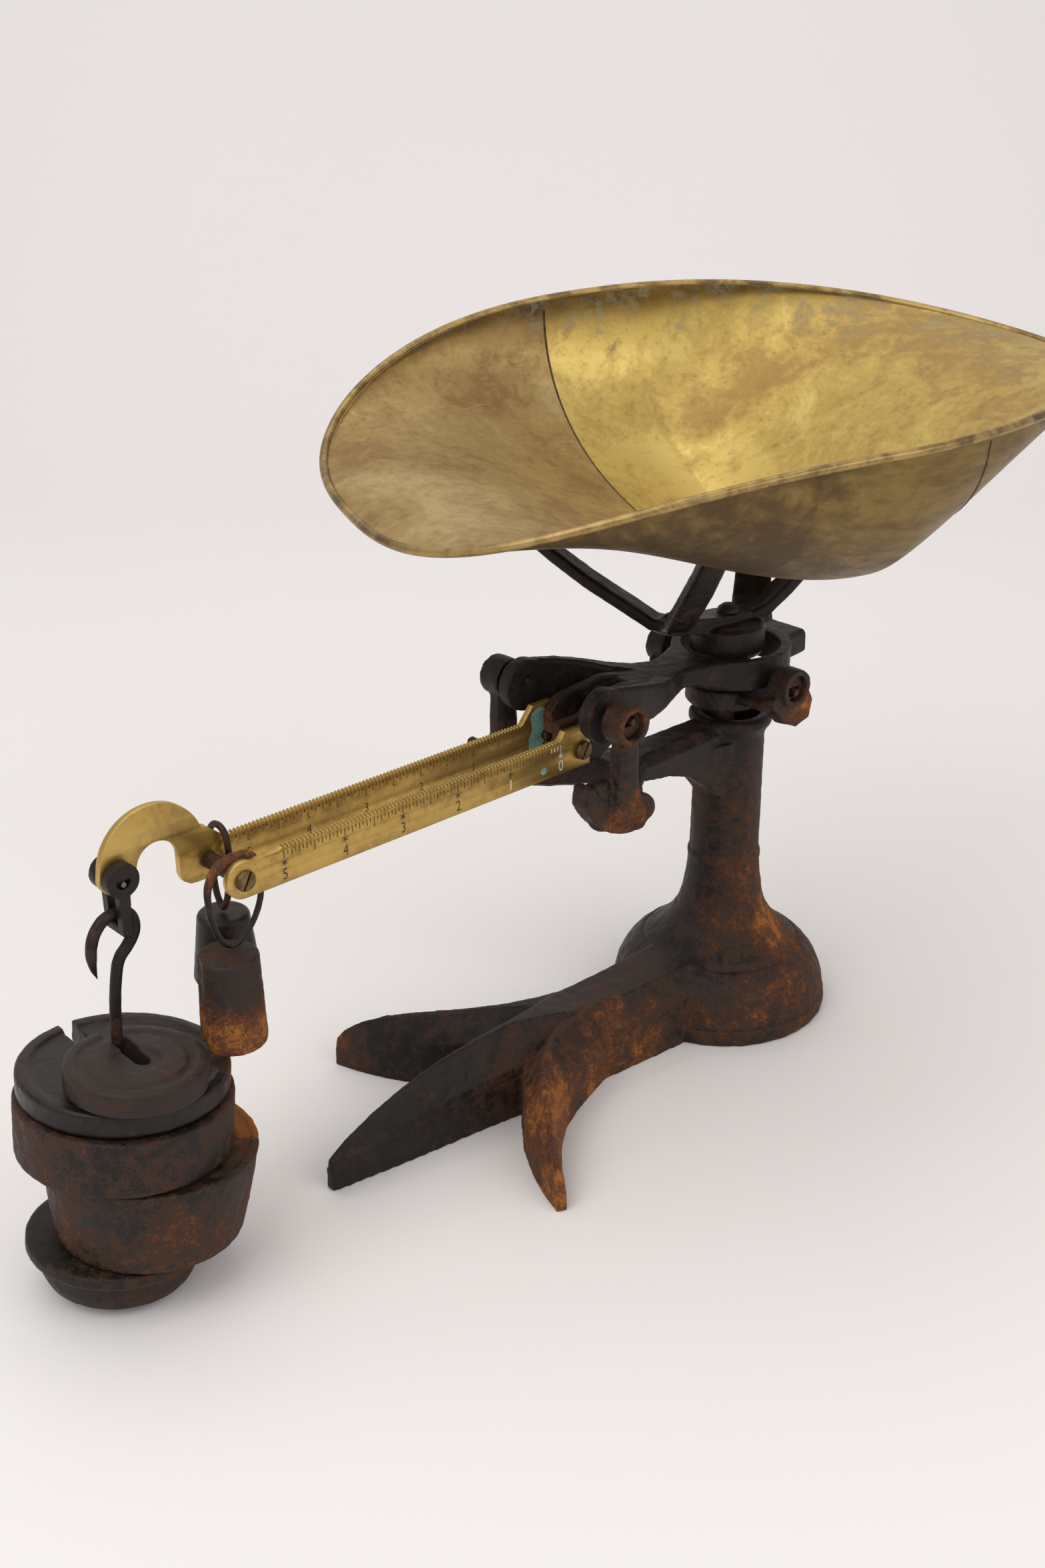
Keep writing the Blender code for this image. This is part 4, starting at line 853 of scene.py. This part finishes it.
def make_scoop():
    left, right = SCOOP_SEAMS
    rim_height = at(*SCOOP_CENTRE).z
    olive = ((0.48, 0.35, 0.155, 1), (0.38, 0.26, 0.1, 1), (0.27, 0.165, 0.062, 1))
    gold = ((0.63, 0.475, 0.145, 1), (0.5, 0.355, 0.1, 1), (0.37, 0.24, 0.075, 1))
    stains = ((at(5, 20, 292), 17, 0.3), (at(60, 60, 330), 40, 0.12), (at(-45, -70, 290), 26, 0.2),
              (Vector((1, 0, 0)), at(0, 0, 0).x, at(130, 0, 0).x, 0.16))
    blunt = scoop_brass("scoop_blunt_brass", *olive, 0.03, rim_height)
    middle = scoop_brass("scoop_middle_brass", *gold, -0.03, rim_height, stains)
    narrow = scoop_brass("scoop_narrow_brass", *gold, -0.02, rim_height, stains)
    make_sheet("scoop_blunt", -89.8, seam_angle(left + SEAM_OVERLAP), 64, blunt, "scoop_blunt_sheet")
    make_sheet("scoop_middle", seam_angle(left - SEAM_OVERLAP), seam_angle(right + SEAM_OVERLAP), 60,
               middle, "scoop_middle_sheet")
    make_sheet("scoop_narrow", seam_angle(right - SEAM_OVERLAP), 89, 64, narrow, "scoop_narrow_sheet")
    count = 90
    front = [scoop_point(-89.5 + 179 * i / count, -90, 0.3) for i in range(count + 1)]
    rear = [scoop_point(89.5 - 179 * i / count, 90, 0.3) for i in range(count + 1)]
    path = front + rear
    bead = plain("scoop_rim_brass", (0.17, 0.11, 0.045, 1), (0.42, 0.29, 0.11, 1), 0.38, 0.85, 16)
    rim = wire("scoop_bead", path, [BEAD_RADIUS] * len(path), COLUMN, closed=True, sides=3, steps=1)
    dress(rim, bead, "scoop", "scoop_brass", "scoop_rim", angle=60)
    solder = plain("scoop_solder", (0.02, 0.013, 0.008, 1), (0.09, 0.055, 0.025, 1), 0.6, 0.5, 4)
    for name, out, grow in (("scoop_blunt_seam", left, -0.45), ("scoop_narrow_seam", right, 0.45)):
        line = [scoop_point(seam_angle(out), -88 + 176 * j / 50, SHEET_INSET - grow, grow)
                for j in range(51)]
        seam = wire(name, line, [0.6] * len(line), COLUMN, sides=2, steps=1)
        dress(seam, solder, "scoop", "scoop_brass")


# ---------------------------------------------------------------- hanger and weights


def make_hanger():
    black = iron("hook_iron", -0.06, ((HANGER @ Vector((0, 0, -0.06)), 30, 0.1),), gloss=0.45, grain=0.6)
    path = [(-9.6, -23.5, 0.25), (-11.4, -18.5, 1.5), (-12.4, -13, 2.4), (-12.2, -7, 2.65),
            (-9.8, -0.8, 2.7), (-5.2, 3.3, 2.7), (0, 4.3, 2.7), (4.8, 2.8, 2.7), (7.4, -1.4, 2.7),
            (7.2, -6.4, 2.7), (4.2, -11.8, 2.7), (0.6, -16.5, 2.65), (ROD_X, -24, 2.6),
            (ROD_X, -60, 2.6), (ROD_X, -110, 2.6), (ROD_X, -155, 2.6)]
    hook = wire("hook", [(x, 0, z) for x, z, _ in path], [r for _, _, r in path], HANGER)
    dress(cast(hook, 0.35, 3, 0.25, 4), black, "hanger", "black_iron", "hanger_hook")

    profile = rounded([(0, -145.3), (38.2, -145.3), (39.8, -145.8), (40.2, -147), (40.2, -150.4),
                       (39.4, -151.6), (35.8, -152.6), (35.0, -156), (34.2, -161), (31.5, -166.6),
                       (29, -168.0), (0, -168.0)], 0.8)
    rusty = iron("dish_iron", -0.06, ((HANGER @ Vector((0.03, -0.03, -0.147)), 34, 0.3),
                                    (HANGER @ Vector((-0.01, -0.035, -0.16)), 34, 0.12)))
    dish = turned("hanger_dish", profile, 120, (ROD_X, 0), HANGER)
    dress(cast(dish, 0.75, 3, 0.5, 5), rusty, "hanger", "rusty_iron", "hanger_base")

    stirrup = cast(copy_of("tip_stirrup", "stirrup"), 0.3, 4, 0.2, 3)
    dress(stirrup, iron("stirrup_iron", -0.08, gloss=0.44, grain=0.6), "stirrup", "black_iron", "stirrup")


def slot_cutter(name, low, high, slot_end, reach=70):
    half = WIRE_RADIUS + 0.7
    outline = arc((ROD_X, -slot_end), half, 180, 360, 12) + [(ROD_X + half, reach), (ROD_X - half, reach)]
    upright = Matrix.Translation((0, 0, (low + high) / 2 * MM)) @ Matrix.Rotation(-math.pi / 2, 4, "X")
    return plate(name, [outline], (low - high) / 2 - 5, (high - low) / 2 + 5, HANGER @ upright)


def make_weight(name, profile, offset, slot_end, look, slot, relief):
    low = min(z for _, z in profile)
    high = max(z for _, z in profile)
    weight = turned(name + "_iron", rounded(profile, 1.0), 128, (ROD_X + offset[0], offset[1]), HANGER)
    weight = cut(weight, slot_cutter(name + "_slot", low, high, slot_end))
    return dress(cast(weight, 0.7, 3, relief, 5), look, name, slot, name)


def make_weights():
    def spot(x, y, z):
        return HANGER @ (Vector((x, y, z)) * MM)

    profile = [(0, -54.6), (9.5, -54.6), (10.5, -53.3), (20.5, -53.3), (21.2, -54.1), (24.6, -54.1),
               (25.2, -53.3), (29.0, -53.5), (29.9, -54.6), (29.9, -63.8), (29.0, -64.6), (0, -64.6)]
    look = iron("weight_top_iron", -0.1, ((spot(18, -34, -54), 26, 0.1),), gloss=0.48, black=SOOT)
    make_weight("weight_top", profile, (-2.6, -19.5), 20, look, "rusty_iron", 0.35)

    profile = [(0, -66.8), (38.6, -66.8), (39.6, -65.2), (44.2, -65.2), (45.0, -66.4), (45.0, -75),
               (44.2, -75.9), (0, -75.9)]
    look = iron("weight_second_iron", -0.1, ((spot(40, -26, -70), 16, 0.5),), gloss=0.33)
    make_weight("weight_second", profile, (3, 0), 1, look, "black_iron", 0.3)

    profile = [(0, -77.4), (41, -77.4), (42, -76.5), (45.6, -76.5), (46.5, -77.6), (46.3, -101.4),
               (45.2, -102.4), (0, -102.4)]
    look = iron("weight_third_iron", 0.08, ((spot(44, -20, -90), 30, 0.14),))
    make_weight("weight_third", profile, (2, -2), 1, look, "rusty_iron", 0.6)

    profile = [(0, -104), (42.6, -104), (43.4, -103.1), (46.0, -103.1), (46.6, -104.2), (46.0, -110),
               (43, -131), (40.8, -143.6), (39.6, -144.9), (0, -144.9)]
    spots = ((spot(58, 6, -103), 52, 0.7), (spot(50, -20, -125), 34, 0.14), (spot(10, -52, -140), 30, 0.1))
    look = iron("weight_bottom_iron", 0.07, spots)
    make_weight("weight_bottom", profile, (12, -6), 1, look, "rusty_iron", 0.8)


# ---------------------------------------------------------------- poises


def make_poises():
    x, y = FRONT_POISE
    profile = [(0, 151.3), (12.2, 151.2), (13.2, 150.2), (14.7, 110.4), (14.2, 108.8), (0, 108.8)]
    poise = turned("front_poise_iron", rounded(profile, 0.8), 96, (x, y))
    hollow = turned("poise_hollow", [(0, 170), (16, 170), (16, 90), (0, 90)], 96, (x - 26.5, y + 9))
    poise = cast(cut(poise, hollow), 0.5, 3, 0.6, 4)
    rusty = iron("front_poise_iron", 0.04, ((Vector((0, 0, -1)), -0.139, -0.119, 0.42),
                                            (at(x, y, 151), 14, 0.1)), grain=1.3, black=SOOT)
    dress(poise, rusty, "front_poise", "rusty_iron", "front_poise")

    profile = [(0, 154.5), (10.2, 154.4), (11.5, 153.2), (14.8, 123.6), (14.0, 121.6), (0, 121.6)]
    poise = turned("rear_poise_iron", rounded(profile, 1.6), 96, REAR_POISE)
    dark = iron("rear_poise_iron", -0.1, gloss=0.4, grain=0.6)
    dress(cast(poise, 0.5, 3, 0.2, 4), dark, "rear_poise", "black_iron", "rear_poise")


def make_front_loop():
    """Long loop that tapers from its top, given as X, height and radius."""
    ring = [(-316.1, 193.4, 2.3), (-323.5, 192, 2.6), (-329.4, 186, 1.9), (-330.6, 176, 1.5),
            (-328.3, 164, 1.4), (-323.5, 155.4, 1.4), (-319.5, 153.8, 1.4), (-314, 156.7, 1.4),
            (-307, 166, 1.4), (-304.6, 177, 1.5), (-305.8, 187, 1.9), (-309.7, 191.9, 2.5)]
    points = [(x, FRONT_POISE[1], z) for x, z, _ in ring]
    loop = wire("front_loop_wire", points, [radius for _, _, radius in ring], COLUMN, closed=True)
    rusty = iron("front_loop_iron", -0.04, ((Vector((0, 0, 1)), 0.181, 0.189, 0.3),), gloss=0.4, grain=0.7)
    dress(cast(loop, 0.3, 2, 0.25, 3), rusty, "front_poise", "black_iron", "front_loop")


def make_rear_loop():
    """Loop from the rear poise up to the bar, given as distance across and share of the height."""
    ring = [(0, 1), (4.2, 0.96), (6.6, 0.84), (6.9, 0.6), (5.6, 0.3), (3, 0.08), (0, 0), (-3, 0.08),
            (-5.6, 0.3), (-6.9, 0.6), (-6.6, 0.84), (-4.2, 0.96)]
    x, y = REAR_POISE
    low = 156.8
    high = 198.3
    top_y = 13.7
    points = [(x - 2.5 * share, y + (top_y - y) * share + across, low + (high - low) * share)
              for across, share in ring]
    loop = wire("rear_loop_wire", points, [1.55] * len(points), COLUMN, closed=True)
    rusty = iron("rear_loop_iron", 0.0, gloss=0.42, grain=0.7)
    dress(cast(loop, 0.3, 2, 0.2, 3), rusty, "rear_loop", "black_iron", "rear_loop")


# ---------------------------------------------------------------- stage


def make_stage():
    """Pale sweep of paper under and behind the scale."""
    radius = 0.9
    floor_end = 1.1
    points = [(-3.2, 0.0), (floor_end, 0.0)]
    for i in range(1, 25):
        angle = math.radians(90 * i / 24)
        points.append((floor_end + radius * math.sin(angle), radius - radius * math.cos(angle)))
    points.append((floor_end + radius, 4.2))
    away = Vector((0.674, 0.739, 0))
    across = Vector((0.739, -0.674, 0))
    mesh = bpy.data.meshes.new("backdrop")
    places = [away * out + across * side + Vector((0, 0, up)) for out, up in points for side in (-3.5, 3.5)]
    mesh.from_pydata(places, [], [(2 * i, 2 * i + 1, 2 * i + 3, 2 * i + 2) for i in range(len(points) - 1)])
    backdrop = add("backdrop", mesh)
    look = Look("paper")
    grain = look.noise(700, 2, 0.4)
    colour = look.mix(grain, (0.83, 0.805, 0.8, 1), (0.86, 0.838, 0.834, 1))
    backdrop.data.materials.append(look.finish(colour, 0.75, 0.0))
    backdrop.data.shade_smooth()


def make_light(name, place, target, size, power, colour=(1, 1, 1)):
    lamp = bpy.data.lights.new(name, "AREA")
    lamp.shape = "RECTANGLE"
    lamp.size, lamp.size_y = size
    lamp.energy = power
    lamp.color = colour
    light = add(name, lamp)
    light.location = place
    light.rotation_euler = (Vector(target) - Vector(place)).to_track_quat("-Z", "Y").to_euler()


def make_studio():
    world = bpy.data.worlds.new("studio")
    bpy.context.scene.world = world
    world.use_nodes = True
    background = world.node_tree.nodes["Background"]
    background.inputs["Color"].default_value = (1, 0.972, 0.955, 1)
    background.inputs["Strength"].default_value = 0.52
    make_light("left_window", (-1.5, -0.2, 1.7), (0, 0, 0.2), (1.6, 1.8), 19, (1, 0.985, 0.96))
    make_light("front_fill", (0.2, -1.8, 1.3), (-0.1, -0.2, 0.1), (1.8, 1.4), 12, (1, 0.98, 0.955))
    make_light("top_panel", (0.2, 0.5, 2.3), (0, 0.1, 0.2), (2.4, 1.8), 16, (1, 0.99, 0.98))


def make_camera():
    view = bpy.data.cameras.new("camera")
    view.sensor_fit = "VERTICAL"
    view.sensor_height = 36
    view.lens = 41.62
    camera = add("camera", view)
    camera.location = at(-678.6, -580.9, 524.9)
    camera.rotation_euler = (math.radians(65.89), 0, math.radians(-42.38))
    bpy.context.scene.camera = camera
    bpy.context.scene.view_settings.view_transform = "Standard"


def main():
    make_stand()
    make_lever()
    make_carrier()
    make_bearings()
    make_bars()
    head = plain("screw_brass", (0.1, 0.062, 0.026, 1), (0.22, 0.14, 0.055, 1), 0.5, 0.8, 2)
    for side, word in ((-1, "front"), (1, "rear")):
        for place, end in zip(SCREW_POINTS, ("lever", "tip")):
            make_screw(f"{word}_{end}_screw_head", place, side, f"{word}_{end}_screw", head)
    make_scoop()
    make_hanger()
    make_weights()
    make_poises()
    make_front_loop()
    make_rear_loop()
    dull = steel("pivot_steel")
    paint(dull, "tip_pivot", "check_stud", "check_pin", "check_link", "stem")
    paint(iron("pivot_iron", 0.14, grain=0.7), "front_fulcrum_pivot", "rear_fulcrum_pivot",
          "front_load_pivot", "rear_load_pivot")
    paint(iron("trim_iron", -0.02, grain=0.6), "hub_rivet", "guide_rod", "balance_screw", "bar_spacer")
    make_stage()
    make_studio()
    make_camera()


main()
